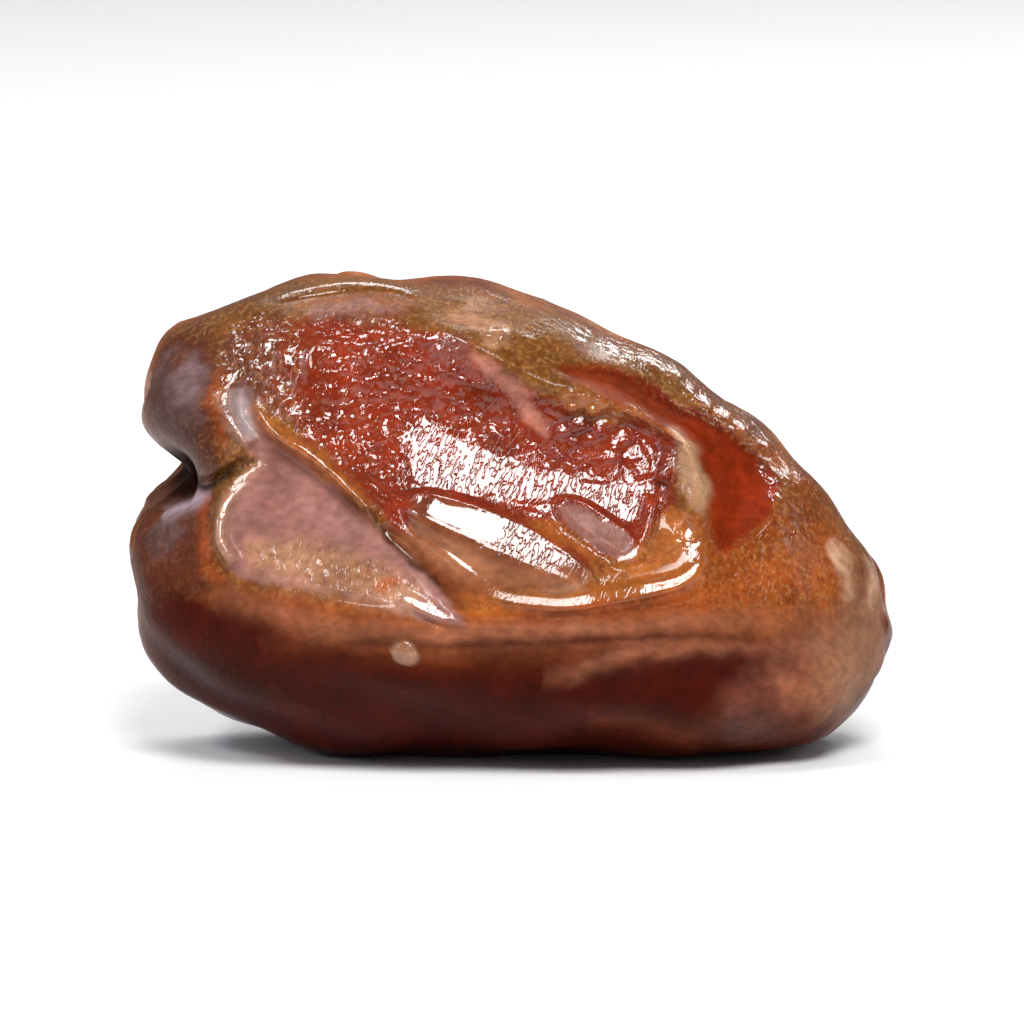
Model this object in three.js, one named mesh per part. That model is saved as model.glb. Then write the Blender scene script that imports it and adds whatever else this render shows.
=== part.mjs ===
// A soft date fruit lying on its side: one body, with its skin sunk into hollows and folds as it dried.
// Millimetres. +Z is up, X runs along the fruit from its stem end to its tip, and -Y is its best side.
// The origin is on the surface that it lies on, under the middle of its box.

import * as THREE from "three";
import { mergeVertices } from "three/addons/utils/BufferGeometryUtils.js";

// The plain body. Its sections stand across X, and each knot is a share of the half length with a size there.
const HALF_LENGTH = 20.1;
const END_POWER = 4; // higher is blunter
const END_ROUNDING = 0.4;
const MIDDLE_HEIGHT = [[-1, 12.5], [-0.8, 12.5], [-0.5, 12.3], [-0.3, 12.2], [0, 11.7], [0.3, 10.4],
  [0.5, 9.35], [0.7, 8.1], [0.83, 6.8], [0.9, 6.5], [1, 6.5]];
const HALF_HEIGHT = [[-1, 15.0], [-0.92, 14.0], [-0.8, 12.6], [-0.5, 12.5], [-0.3, 12.4], [0, 12.0],
  [0.3, 10.7], [0.5, 9.9], [0.7, 9.0], [0.83, 8.2], [0.9, 7.4], [1, 6.2]];
const HALF_DEPTH = [[-1, 10.4], [-0.8, 10.4], [-0.5, 10.8], [-0.1, 11.0], [0.4, 10.4], [0.7, 9.4],
  [0.85, 8.6], [1, 7.6]];
const MIDDLE_DEPTH = [[-1, 0.6], [-0.5, 0.2], [0, 0], [0.5, 0.2], [1, 0.8]];

// Each section is an ellipse with these shares of its radius, every 30 degrees from the front over the top.
const SECTION_SHARES = [0.83, 0.76, 0.88, 1.0, 1.03, 1.04, 1.0, 1.03, 1.02, 1.0, 1.02, 1.06];

// Marks are laid out flat, as seen from one side, and pressed into the body along the line of sight.
const LOOK_DOWN = THREE.MathUtils.degToRad(9); // the front is seen from a little above
const FRONT_RISE = 0.4; // the front's zero line is this far below the middle of the fruit's underside
const FRONT_FADE = [0.02, 0.4]; // marks fade out where the surface turns away from the one who looks
const TOP_FADE = [0.6, 0.95];
const END_FADE = [0.35, 0.8];

// A hollow sinks by edge within wall of its outline, and by sag more in its middle, within reach.
const FRONT_HOLLOWS = [
  { // the broad basin of thin red skin
    outline: [[-15.0, 20.6], [-14.0, 22.1], [-12.0, 22.9], [-9.8, 23.1], [-6.5, 22.9], [-3.4, 22.5],
      [-1.6, 21.0], [0.9, 19.9], [3.4, 18.8], [6.4, 18.0], [8.3, 16.9], [8.7, 15.2], [8.6, 13.3],
      [9.4, 11.6], [9.6, 10.2], [8.4, 9.4], [5.5, 8.6], [2.4, 8.2], [-0.8, 8.5], [-3.0, 8.5],
      [-4.6, 10.0], [-6.0, 11.7], [-7.3, 13.2], [-9.3, 15.1], [-11.4, 16.9], [-13.2, 18.4]],
    edge: 1.0, wall: 0.75, sag: 1.2, reach: 4.2,
  },
  { // the smooth flap of loose skin at the stem end, with its tongue upwards
    outline: [[-13.2, 15.2], [-14.2, 14.2], [-14.9, 13.0], [-15.2, 12.0], [-15.1, 10.9], [-14.3, 9.8],
      [-12.6, 9.2], [-10.2, 8.7], [-7.8, 8.2], [-5.2, 7.6], [-2.2, 6.9], [-3.2, 8.2], [-4.6, 9.9],
      [-6.4, 11.6], [-8.2, 13.5], [-10.0, 15.1], [-12.0, 16.4], [-13.1, 17.6], [-13.8, 19.2],
      [-14.4, 19.5], [-14.7, 18.4], [-14.1, 16.9]],
    edge: 0.5, wall: 0.5, sag: 0.4, reach: 2.4,
  },
  { // the drop-shaped pocket at the tip end, its tail along the upper rim
    outline: [[2.4, 20.3], [5.2, 20.0], [7.6, 19.1], [9.6, 18.0], [11.6, 16.8], [13.2, 15.6],
      [14.1, 14.3], [13.8, 12.9], [12.6, 11.5], [11.2, 11.0], [10.5, 11.8], [10.3, 13.4],
      [10.1, 15.0], [9.2, 16.6], [7.0, 18.0], [4.6, 18.9]],
    edge: 0.8, wall: 0.6, sag: 0.6, reach: 2.0,
  },
  { // the shallow trough under the lower ridge, towards the tip
    outline: [[1.5, 4.3], [4.5, 5.0], [8.5, 5.6], [12.5, 5.3], [15.4, 4.4], [14.0, 3.3], [9.0, 2.9],
      [4.5, 3.2]],
    edge: 0.25, wall: 0.6, sag: 0.35, reach: 1.4,
  },
];
const BACK_HOLLOWS = [
  { // the long hollow over the back ridge
    outline: [[-13.5, 18.2], [-10.5, 20.9], [-5.5, 21.6], [0.5, 20.2], [5.5, 17.6], [8.6, 14.9],
      [6.4, 14.0], [1.6, 14.9], [-4.2, 15.4], [-9.6, 15.5], [-12.6, 16.1]],
    edge: 0.8, wall: 0.8, sag: 1.0, reach: 3.0,
  },
  { // the hollow under it, nearer the tip
    outline: [[-5.4, 12.2], [0.6, 12.2], [6.8, 11.4], [12.6, 9.8], [14.6, 7.6], [11.2, 5.6],
      [5.2, 5.2], [-1.2, 6.4], [-5.0, 8.8]],
    edge: 0.6, wall: 0.9, sag: 0.9, reach: 2.8,
  },
  { // a puckered flap at the stem end
    outline: [[-16.2, 12.6], [-13.2, 13.6], [-9.4, 12.8], [-7.6, 10.2], [-9.0, 7.0], [-12.6, 6.2],
      [-15.4, 8.6]],
    edge: 0.5, wall: 0.6, sag: 0.6, reach: 2.2,
  },
];

// A fold is a ridge with a positive height and a crease with a negative one, fading out at both ends.
const FRONT_FOLDS = [
  // between the flap and the basin, with the crevice beyond it
  { path: [[-13.6, 18.9], [-12.4, 17.5], [-10.4, 16.0], [-8.4, 14.3], [-7.2, 12.9]],
    height: 0.55, width: 0.6 },
  { path: [[-7.8, 13.6], [-6.6, 12.0], [-5.2, 10.6], [-3.8, 8.9], [-2.4, 7.5]],
    height: -0.65, width: 0.5 },
  // round the tip end of the basin, and the rim above it
  { path: [[8.0, 17.3], [9.3, 16.5], [10.0, 15.0], [10.0, 13.2], [9.7, 11.4]], height: 0.6, width: 0.6 },
  { path: [[-4.8, 23.0], [-2.4, 21.8], [0.8, 20.3], [3.6, 19.2], [6.6, 18.1], [8.6, 17.0]],
    height: 0.4, width: 0.7 },
  { path: [[7.3, 13.8], [6.9, 12.6], [7.0, 11.4], [6.3, 10.5]], height: 0.4, width: 0.4 },
  { path: [[5.0, 21.4], [7.5, 20.4], [10.0, 18.9], [12.4, 17.4], [14.6, 15.8], [15.4, 14.0]],
    height: 0.35, width: 0.9 },
  // along the top of the stem end
  { path: [[-12.4, 24.0], [-9.8, 24.6], [-7.0, 24.8], [-4.7, 24.2]], height: 0.25, width: 0.35 },
  { path: [[-11.2, 23.7], [-8.0, 24.1], [-5.0, 23.9]], height: -0.35, width: 0.4 },
  { path: [[-9.1, 23.4], [-9.9, 22.2], [-10.4, 20.8], [-10.3, 19.3], [-10.0, 18.0]],
    height: 0.28, width: 0.35 },
  // the long ridge under the basin and the flap, with its creases
  { path: [[-15.6, 9.0], [-11.0, 7.8], [-6.0, 6.8], [-1.0, 6.5], [5.0, 7.0], [11.0, 7.4], [17.0, 6.9]],
    height: 0.5, width: 1.1 },
  { path: [[-9.0, 6.3], [-4.0, 5.6], [1.0, 5.5], [6.0, 6.0], [11.0, 6.3]], height: -0.35, width: 0.6 },
  { path: [[1.8, 3.9], [4.2, 4.8], [8.0, 5.8], [12.5, 6.1], [16.0, 5.3]], height: 0.3, width: 0.5 },
  { path: [[4.0, 2.1], [7.0, 1.7], [10.6, 0.9]], height: 0.35, width: 0.7 },
  // the tip end
  { path: [[16.4, 11.2], [17.5, 9.6], [18.2, 7.8]], height: 0.35, width: 0.6 },
  { path: [[16.2, 14.2], [17.2, 12.4], [18.8, 10.8]], height: -0.4, width: 0.7 },
  // the lips of the two lobes at the stem end
  { path: [[-15.5, 20.2], [-15.4, 18.4], [-14.9, 16.9], [-13.6, 15.9]], height: 0.35, width: 0.6 },
  { path: [[-13.6, 15.4], [-14.9, 14.2], [-15.8, 12.6], [-15.9, 10.8], [-14.8, 9.4]],
    height: 0.4, width: 0.6 },
];
const BACK_FOLDS = [
  { path: [[-15.5, 14.2], [-9.0, 14.4], [-2.0, 13.8], [5.0, 12.8], [11.5, 11.4], [17.0, 8.8]],
    height: 0.6, width: 1.0 },
  { path: [[-12.0, 5.0], [-5.0, 4.2], [3.0, 3.8], [10.0, 4.2]], height: 0.4, width: 0.9 },
  { path: [[-14.5, 21.6], [-8.0, 23.2], [-1.0, 22.4], [5.0, 20.2]], height: 0.35, width: 0.8 },
  { path: [[-3.0, 20.6], [-1.4, 18.4], [-1.6, 16.2]], height: 0.35, width: 0.5 },
  { path: [[4.2, 11.6], [6.0, 9.4], [5.6, 6.6]], height: 0.4, width: 0.55 },
  { path: [[-17.6, 17.8], [-15.6, 15.2], [-16.2, 12.2]], height: -0.4, width: 0.6 },
  { path: [[10.5, 15.6], [13.6, 13.6], [16.6, 11.6]], height: -0.4, width: 0.7 },
];
// These are laid out as [x, depth] seen from above.
const TOP_FOLDS = [
  { path: [[-13.0, 1.6], [-6.0, 3.4], [1.0, 3.0], [7.0, 2.0], [13.0, 0.6]], height: 0.45, width: 0.9 },
  { path: [[-12.0, 3.6], [-6.0, 5.2], [0.0, 5.0], [5.0, 3.6]], height: -0.4, width: 0.7 },
  { path: [[-9.0, -1.0], [-7.0, 1.0], [-6.4, 3.2]], height: 0.35, width: 0.6 },
  { path: [[2.0, 0.4], [5.0, 0.2], [9.0, -1.0]], height: -0.35, width: 0.7 },
];

// A pad is an oval swelling: turn is in degrees, from X towards the top.
const FRONT_PADS = [
  { middle: [-0.6, 10.9], long: 5.5, wide: 1.6, turn: -26, height: 1.15 }, // the long swelling in the basin
  { middle: [4.6, 11.9], long: 2.7, wide: 1.1, turn: -36, height: 0.55 },
  { middle: [-0.4, 19.1], long: 3.9, wide: 1.1, turn: -42, height: 0.4 },
  { middle: [-1.3, 22.4], long: 1.4, wide: 0.9, turn: -20, height: 0.25 },
  { middle: [-7.4, 23.4], long: 2.8, wide: 0.5, turn: 2, height: 0.3 },
  { middle: [-5.4, 5.6], long: 1.0, wide: 0.75, turn: -10, height: 0.5 }, // a bead of dried syrup
];

// The deep crease that parts the stem end into two lobes. Each point is x, y, height and strength.
const CLEFT = [[-13.2, -9.5, 16.4, 0.15], [-15.0, -8.6, 15.7, 0.5], [-17.0, -7.2, 15.5, 0.9],
  [-19.0, -4.4, 15.3, 1.0], [-20.1, 0.0, 14.8, 1.0], [-19.4, 4.2, 14.8, 0.85], [-17.6, 7.6, 15.2, 0.45],
  [-15.4, 9.6, 15.8, 0.1]];
const CLEFT_DEPTH = 3.2;
const CLEFT_WIDTH = 2.1;
const CLEFT_LEAST_WIDTH = 0.9;
const CLEFT_POWER = 1.8; // 2 is a round bottom, lower is sharper

// The stem end has a round scar in that crease, where the cap came off, and the tip a small point.
// Short creases run out from each, laid out as [depth, height] and worked out from these sizes.
const STEM_SCAR = { x: -20.1, y: 0.6, height: 13.6, radius: 1.7, depth: 0.4 };
const TIP_POINT = { x: 20.1, y: 0.8, height: 6.0, radius: 0.7, depth: -0.45 };
const SCAR_SOFTNESS = 0.35;
const SHORT_CREASE = 0.75; // every second crease's reach, as a share of the others'
const STEM_CREASES = { count: 9, inner: 2.4, outer: 6.2, swirl: 0.35, height: -0.4, width: 0.6 };
const TIP_CREASES = { count: 7, inner: 1.2, outer: 5.2, swirl: -0.5, height: -0.38, width: 0.6 };

// Waves that leave no part of the skin quite even. Each is a direction with its length as waves per 2 pi mm.
const WAVES = [[0.35, 0.5, -0.3], [-0.28, 0.62, 0.41], [0.55, -0.33, 0.7], [0.8, 0.75, 0.1],
  [0.21, -1.05, 0.66], [-0.62, 0.4, 1.15]];
const WAVE_HEIGHT = 0.09;
const WAVE_OFFSET = 1.7; // from one wave's start to the next one's

// The facets, closer together on the front, and the narrowest shapes that they can carry.
const FACET_SPLITS = 23; // gives 20 * 24 * 24 triangles
const FRONT_GATHER = 0.62; // 1 spreads them evenly
const NARROWEST = 0.8;
const EDGE_SOFTNESS = 0.3;
const PATH_STEPS = 6; // straight stretches between two points of a path
const FADE_POWER = 0.6; // lower keeps a fold at its height nearer to its ends
const DOME_POWER = 0.8;
const MERGE_DISTANCE = 1e-5;

// A smooth value through two knots' values, from the slopes there.
function blend(y0, y1, slope0, slope1, span, s) {
  const s2 = s * s;
  const s3 = s2 * s;
  return (2 * s3 - 3 * s2 + 1) * y0 + (s3 - 2 * s2 + s) * span * slope0
    + (3 * s2 - 2 * s3) * y1 + (s3 - s2) * span * slope1;
}

// A value between knots, along a smooth curve through them.
function between(knots, share) {
  let i = 0;
  while (i < knots.length - 2 && share > knots[i + 1][0]) i += 1;
  const [x0, y0] = knots[i];
  const [x1, y1] = knots[i + 1];
  const before = knots[Math.max(i - 1, 0)];
  const after = knots[Math.min(i + 2, knots.length - 1)];
  const slope0 = (y1 - before[1]) / (x1 - before[0]);
  const slope1 = (after[1] - y0) / (after[0] - x0);
  return blend(y0, y1, slope0, slope1, x1 - x0, THREE.MathUtils.clamp((share - x0) / (x1 - x0), 0, 1));
}

// The section's share at an angle from the front over the top, in radians.
function sectionShare(angle) {
  const count = SECTION_SHARES.length;
  const place = ((angle / (2 * Math.PI)) * count + count) % count;
  const i = Math.floor(place);
  const at = (k) => SECTION_SHARES[(i + k + count) % count];
  return blend(at(0), at(1), (at(1) - at(-1)) / 2, (at(2) - at(0)) / 2, 1, place - i);
}

// The plain body's point in a direction from its middle, before any mark.
function bodyPoint(direction) {
  const share = THREE.MathUtils.clamp(direction.x, -1, 1);
  const angle = Math.atan2(direction.z, -direction.y);
  const end = Math.pow(Math.max(0, 1 - Math.abs(share) ** END_POWER), END_ROUNDING);
  const halfDepth = between(HALF_DEPTH, share) * end;
  const halfHeight = between(HALF_HEIGHT, share) * end;
  const ring = Math.hypot(direction.y, direction.z) || 1;
  const across = direction.y / ring;
  const up = direction.z / ring;
  const radius = end > 0 ? sectionShare(angle) / Math.hypot(across / halfDepth, up / halfHeight) : 0;
  return new THREE.Vector3(
    HALF_LENGTH * share,
    between(MIDDLE_DEPTH, share) + radius * across,
    between(MIDDLE_HEIGHT, share) + radius * up,
  );
}

// A smooth line through points of any dimension, as a list of closely spaced ones.
function smoothLine(points, closed) {
  const count = points.length;
  const at = (i) => (closed ? points[(i + count) % count] : points[Math.min(Math.max(i, 0), count - 1)]);
  const line = [];
  const spans = closed ? count : count - 1;
  for (let i = 0; i < spans; i += 1) {
    const [a, b, c, d] = [at(i - 1), at(i), at(i + 1), at(i + 2)];
    for (let k = 0; k < PATH_STEPS; k += 1) {
      line.push(b.map((_, j) => blend(b[j], c[j], (c[j] - a[j]) / 2, (d[j] - b[j]) / 2, 1, k / PATH_STEPS)));
    }
  }
  if (!closed) line.push(points[count - 1]);
  return line;
}

// How far a point is from a line, and how far along it the nearest place is, from 0 to 1.
function nearest(point, line, dimensions) {
  let best = { distance: Infinity, along: 0 };
  for (let i = 0; i < line.length - 1; i += 1) {
    const [a, b] = [line[i], line[i + 1]];
    let dot = 0;
    let length = 0;
    for (let j = 0; j < dimensions; j += 1) {
      dot += (point[j] - a[j]) * (b[j] - a[j]);
      length += (b[j] - a[j]) ** 2;
    }
    const s = THREE.MathUtils.clamp(dot / length, 0, 1);
    let square = 0;
    for (let j = 0; j < dimensions; j += 1) square += (point[j] - a[j] - s * (b[j] - a[j])) ** 2;
    if (square < best.distance) best = { distance: square, along: (i + s) / (line.length - 1) };
  }
  best.distance = Math.sqrt(best.distance);
  return best;
}

// The distance to an outline, positive inside it.
function insideBy(point, outline) {
  let inside = false;
  for (let i = 0, k = outline.length - 1; i < outline.length; k = i, i += 1) {
    const [a, b] = [outline[i], outline[k]];
    if ((a[1] > point[1]) !== (b[1] > point[1])
      && point[0] < ((b[0] - a[0]) * (point[1] - a[1])) / (b[1] - a[1]) + a[0]) inside = !inside;
  }
  const { distance } = nearest(point, [...outline, outline[0]], 2);
  return inside ? distance : -distance;
}

// 0 well below zero and the value itself well above it, with a soft corner between.
const softPositive = (value, softness) => softness * Math.log1p(Math.exp(value / softness));

function hollowDepth(point, hollow) {
  const inside = insideBy(point, hollow.line);
  const deep = Math.max(inside, 0) / hollow.reach;
  const wall = Math.max(hollow.wall, NARROWEST);
  return hollow.edge * (1 - Math.exp(-softPositive(inside, EDGE_SOFTNESS) / wall))
    + hollow.sag * (1 - Math.exp(-deep * deep));
}

function foldHeight(point, fold) {
  const { distance, along } = nearest(point, fold.line, 2);
  const fade = Math.pow(Math.sin(Math.PI * THREE.MathUtils.clamp(along, 0, 1)), FADE_POWER);
  const width = Math.max(fold.width, NARROWEST);
  return fold.height * (fold.width / width) * fade * Math.exp(-((distance / width) ** 2));
}

function padHeight(point, pad) {
  const turn = THREE.MathUtils.degToRad(pad.turn);
  const dx = point[0] - pad.middle[0];
  const dy = point[1] - pad.middle[1];
  const along = (dx * Math.cos(turn) + dy * Math.sin(turn)) / pad.long;
  const across = (dy * Math.cos(turn) - dx * Math.sin(turn)) / pad.wide;
  const dome = 1 - along * along - across * across;
  return dome > 0 ? pad.height * Math.pow(dome, DOME_POWER) : 0;
}

function cleftDepth(point) {
  const { distance, along } = nearest(point, CLEFT_LINE, 3);
  const place = along * (CLEFT_LINE.length - 1);
  const i = Math.min(Math.floor(place), CLEFT_LINE.length - 2);
  const strength = THREE.MathUtils.lerp(CLEFT_LINE[i][3], CLEFT_LINE[i + 1][3], place - i);
  const width = THREE.MathUtils.lerp(CLEFT_LEAST_WIDTH, CLEFT_WIDTH, strength);
  return CLEFT_DEPTH * strength * Math.exp(-Math.pow(distance / width, CLEFT_POWER));
}

// A round scar sinks inside its radius, and a point rises there.
function scarDepth(point, scar) {
  const distance = Math.hypot(point[0] - scar.x, point[1] - scar.y, point[2] - scar.height);
  return scar.depth / (1 + Math.exp((distance - scar.radius) / SCAR_SOFTNESS));
}

function waveHeight(point) {
  const phase = (wave, i) => wave[0] * point[0] + wave[1] * point[1] + wave[2] * point[2] + WAVE_OFFSET * i;
  return WAVE_HEIGHT * WAVES.reduce((sum, wave, i) => sum + Math.sin(phase(wave, i)), 0);
}

// Creases that run out from a scar, each a little longer or shorter than the last.
function radialCreases(scar, creases) {
  return Array.from({ length: creases.count }, (_, i) => {
    const angle = (2 * Math.PI * i) / creases.count;
    const reach = creases.outer * (i % 2 ? SHORT_CREASE : 1);
    const at = (radius, turn) => [
      scar.y + radius * Math.cos(angle + turn),
      scar.height + radius * Math.sin(angle + turn),
    ];
    const halfway = at((creases.inner + reach) / 2, creases.swirl / 2);
    return {
      path: [at(creases.inner, 0), halfway, at(reach, creases.swirl)],
      height: creases.height,
      width: creases.width,
    };
  });
}

// One side that marks are laid out on. Its axes are its flat picture's two directions, and its line of sight.
function side(axes, rise, fade, hollows, folds, pads) {
  return { across: new THREE.Vector3(...axes[0]), up: new THREE.Vector3(...axes[1]),
    sight: new THREE.Vector3(...axes[2]), rise, fade, pads,
    hollows: hollows.map((hollow) => ({ ...hollow, line: smoothLine(hollow.outline, true) })),
    folds: folds.map((fold) => ({ ...fold, line: smoothLine(fold.path, false) })) };
}

const CLEFT_LINE = smoothLine(CLEFT, false);
const SLOPE = [Math.sin(LOOK_DOWN), Math.cos(LOOK_DOWN)];
const SIDES = [
  side([[1, 0, 0], [0, SLOPE[0], SLOPE[1]], [0, -SLOPE[1], SLOPE[0]]], FRONT_RISE, FRONT_FADE,
    FRONT_HOLLOWS, FRONT_FOLDS, FRONT_PADS),
  side([[1, 0, 0], [0, 0, 1], [0, 1, 0]], 0, FRONT_FADE, BACK_HOLLOWS, BACK_FOLDS, []),
  side([[1, 0, 0], [0, 1, 0], [0, 0, 1]], 0, TOP_FADE, [], TOP_FOLDS, []),
  side([[0, 1, 0], [0, 0, 1], [-1, 0, 0]], 0, END_FADE, [], radialCreases(STEM_SCAR, STEM_CREASES), []),
  side([[0, 1, 0], [0, 0, 1], [1, 0, 0]], 0, END_FADE, [], radialCreases(TIP_POINT, TIP_CREASES), []),
];

// Where a point of the plain body ends up, once the skin over it has dried.
function driedPoint(point, normal) {
  const place = point.toArray();
  const raised = waveHeight(place) - cleftDepth(place)
    - scarDepth(place, STEM_SCAR) - scarDepth(place, TIP_POINT);
  const dried = point.clone().addScaledVector(normal, raised);
  for (const { across, up, sight, rise, fade, hollows, folds, pads } of SIDES) {
    const seen = THREE.MathUtils.smoothstep(normal.dot(sight), ...fade);
    if (seen === 0) continue;
    const flat = [point.dot(across), point.dot(up) + rise];
    const marks = folds.reduce((sum, fold) => sum + foldHeight(flat, fold), 0)
      + pads.reduce((sum, pad) => sum + padHeight(flat, pad), 0)
      - hollows.reduce((sum, hollow) => sum + hollowDepth(flat, hollow), 0);
    dried.addScaledVector(sight, seen * marks);
  }
  return dried;
}

// Directions over a whole sphere, gathered towards the front.
function gatherToFront(direction) {
  const facing = -direction.y;
  const behind = FRONT_GATHER * (1 - facing);
  const gathered = (1 + facing - behind) / (1 + facing + behind);
  const shrink = Math.sqrt(Math.max(0, 1 - gathered ** 2) / Math.max(1 - facing ** 2, Number.EPSILON));
  return direction.set(direction.x * shrink, -gathered, direction.z * shrink);
}

// The folded skin over the plain body, pressed flat where the fruit's weight rests.
function fruitGeometry() {
  const sphere = new THREE.IcosahedronGeometry(1, FACET_SPLITS);
  sphere.deleteAttribute("normal");
  sphere.deleteAttribute("uv");
  const geometry = mergeVertices(sphere, MERGE_DISTANCE);
  const places = geometry.getAttribute("position");
  const point = new THREE.Vector3();
  for (let i = 0; i < places.count; i += 1) {
    places.setXYZ(i, ...bodyPoint(gatherToFront(point.fromBufferAttribute(places, i))));
  }
  geometry.computeVertexNormals();
  const normals = geometry.getAttribute("normal");
  const normal = new THREE.Vector3();
  for (let i = 0; i < places.count; i += 1) {
    const dried = driedPoint(point.fromBufferAttribute(places, i), normal.fromBufferAttribute(normals, i));
    places.setXYZ(i, dried.x, dried.y, Math.max(dried.z, 0));
  }
  geometry.computeVertexNormals();
  geometry.computeBoundingBox();
  const middle = geometry.boundingBox.getCenter(new THREE.Vector3());
  return geometry.translate(-middle.x, -middle.y, 0);
}

const skin = new THREE.MeshStandardMaterial({ color: 0x6b2a12, roughness: 0.25, metalness: 0 });
const fruit = new THREE.Mesh(fruitGeometry(), skin);
fruit.name = "date_fruit";

const date = new THREE.Group();
date.add(fruit);

export default date;
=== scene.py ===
"""The looks of a soft dried date: its skin as a fine mesh, its colours and gloss, the lights and camera."""

import math

import bpy
import numpy as np
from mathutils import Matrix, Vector


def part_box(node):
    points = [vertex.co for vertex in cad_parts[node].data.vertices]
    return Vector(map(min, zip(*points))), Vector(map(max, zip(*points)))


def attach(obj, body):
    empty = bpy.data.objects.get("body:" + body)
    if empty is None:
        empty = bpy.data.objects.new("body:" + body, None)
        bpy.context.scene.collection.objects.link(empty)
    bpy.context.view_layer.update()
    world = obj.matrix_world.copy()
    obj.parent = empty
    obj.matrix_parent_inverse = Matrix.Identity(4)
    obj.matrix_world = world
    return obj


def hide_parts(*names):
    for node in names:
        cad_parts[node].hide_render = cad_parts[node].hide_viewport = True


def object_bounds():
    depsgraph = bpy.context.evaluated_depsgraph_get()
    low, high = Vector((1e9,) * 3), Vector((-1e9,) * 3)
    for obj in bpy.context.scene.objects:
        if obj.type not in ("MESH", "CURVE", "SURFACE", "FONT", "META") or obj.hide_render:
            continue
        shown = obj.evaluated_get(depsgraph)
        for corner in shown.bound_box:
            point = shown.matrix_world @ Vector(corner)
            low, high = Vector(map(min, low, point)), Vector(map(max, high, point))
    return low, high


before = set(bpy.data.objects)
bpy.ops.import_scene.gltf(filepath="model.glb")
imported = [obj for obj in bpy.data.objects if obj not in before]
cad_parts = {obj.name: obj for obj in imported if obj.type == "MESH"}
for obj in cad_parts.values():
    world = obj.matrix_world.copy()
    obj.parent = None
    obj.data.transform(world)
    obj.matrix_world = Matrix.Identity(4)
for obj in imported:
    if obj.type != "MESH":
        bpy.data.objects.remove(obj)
cad_bounds = [list(corner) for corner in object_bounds()]

NODE = "date_fruit"
SLOT = "date_skin"
PIECE = "date_fine_skin"
LOOK_DOWN = math.radians(9)  # the camera looks this far down on the fruit, as the photograph's does
WATCHER_DISTANCE = 0.45
LENS_LENGTH = 300
FARTHEST_VIEW = 10

# The light and the floor. Each light is its name, place, two sides, power and colour. All face the fruit.
SKY_COLOUR = (0.95, 0.97, 1, 1)
SKY_STRENGTH = 0.17
LIGHTS = [
    ("key", (0.09, -0.34, 0.46), (0.24, 0.18), 3.25, (1, 1, 1)),
    ("top", (-0.03, 0.33, 0.51), (0.3, 0.13), 1.3, (1, 1, 1)),
    ("rim", (0.2, 0.36, 0.31), (0.24, 0.1), 0.62, (1, 1, 1)),
    ("shoulder", (-0.31, -0.2, 0.42), (0.11, 0.12), 1, (1, 1, 1)),
    ("left", (-0.5, -0.25, 0.4), (0.5, 0.4), 1.3, (0.86, 0.88, 1)),
    ("right", (0.5, -0.05, 0.28), (0.25, 0.2), 0.35, (1, 1, 1)),
]
FLOOR_RADIUS = 2.2
FLOOR_CORNERS = 96
FLOOR_DROP = 0.00002
FLOOR_COLOUR = (0.86, 0.86, 0.865, 1)
FLOOR_ROUGHNESS = 0.6

# The plain body in millimetres, as the fruit's own source has it. Each knot is a share of the half length
# with a size.
HALF_LENGTH = 20.1
END_POWER = 4
END_ROUNDING = 0.4
MIDDLE_HEIGHT = [[-1, 12.5], [-0.8, 12.5], [-0.5, 12.3], [-0.3, 12.2], [0, 11.7], [0.3, 10.4], [0.5, 9.35],
                 [0.7, 8.1], [0.83, 6.8], [0.9, 6.5], [1, 6.5]]
HALF_HEIGHT = [[-1, 15], [-0.92, 14], [-0.8, 12.6], [-0.5, 12.5], [-0.3, 12.4], [0, 12], [0.3, 10.7],
               [0.5, 9.9], [0.7, 9], [0.83, 8.2], [0.9, 7.4], [1, 6.2]]
HALF_DEPTH = [[-1, 10.4], [-0.8, 10.4], [-0.5, 10.8], [-0.1, 11], [0.4, 10.4], [0.7, 9.4], [0.85, 8.6],
              [1, 7.6]]
MIDDLE_DEPTH = [[-1, 0.6], [-0.5, 0.2], [0, 0], [0.5, 0.2], [1, 0.8]]
SECTION_SHARES = [0.83, 0.76, 0.88, 1, 1.03, 1.04, 1, 1.03, 1.02, 1, 1.02, 1.06]

# Marks are laid out flat, as seen from one side, and pressed in along the line of sight. A mark fades out
# where the skin turns away from that side.
FRONT_RISE = 0.4
FRONT_FADE = (0.02, 0.4)
TOP_FADE = (0.6, 0.95)
END_FADE = (0.35, 0.8)

# Outlines and lines of the front, as [along, up] in its flat picture.
BASIN = [[-15, 20.6], [-14, 22.1], [-12, 22.9], [-9.8, 23.1], [-6.5, 22.9], [-3.4, 22.5], [-1.6, 21],
         [0.9, 19.9], [3.4, 18.8], [6.4, 18], [8.3, 16.9], [8.7, 15.2], [8.8, 13.3], [9.9, 11.6], [10.4, 10],
         [9, 8.6], [5.5, 7.6], [2.4, 7.2], [-0.8, 7.5], [-3, 8.2], [-4.6, 10], [-6, 11.7], [-7.3, 13.2],
         [-9.3, 15.1], [-11.4, 16.9], [-13.2, 18.4]]
FLAP = [[-13.2, 15.2], [-14.2, 14.2], [-14.9, 13], [-15.2, 12], [-15.1, 10.9], [-14.3, 9.8], [-12.6, 9.2],
        [-10.2, 8.7], [-7.8, 8.2], [-5.2, 7.6], [-2.2, 6.9], [-3.2, 8.2], [-4.6, 9.9], [-6.4, 11.6],
        [-8.2, 13.5], [-10, 15.1], [-12, 16.4], [-13.1, 17.6], [-13.8, 19.2], [-14.4, 19.5], [-14.7, 18.4],
        [-14.1, 16.9]]
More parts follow.
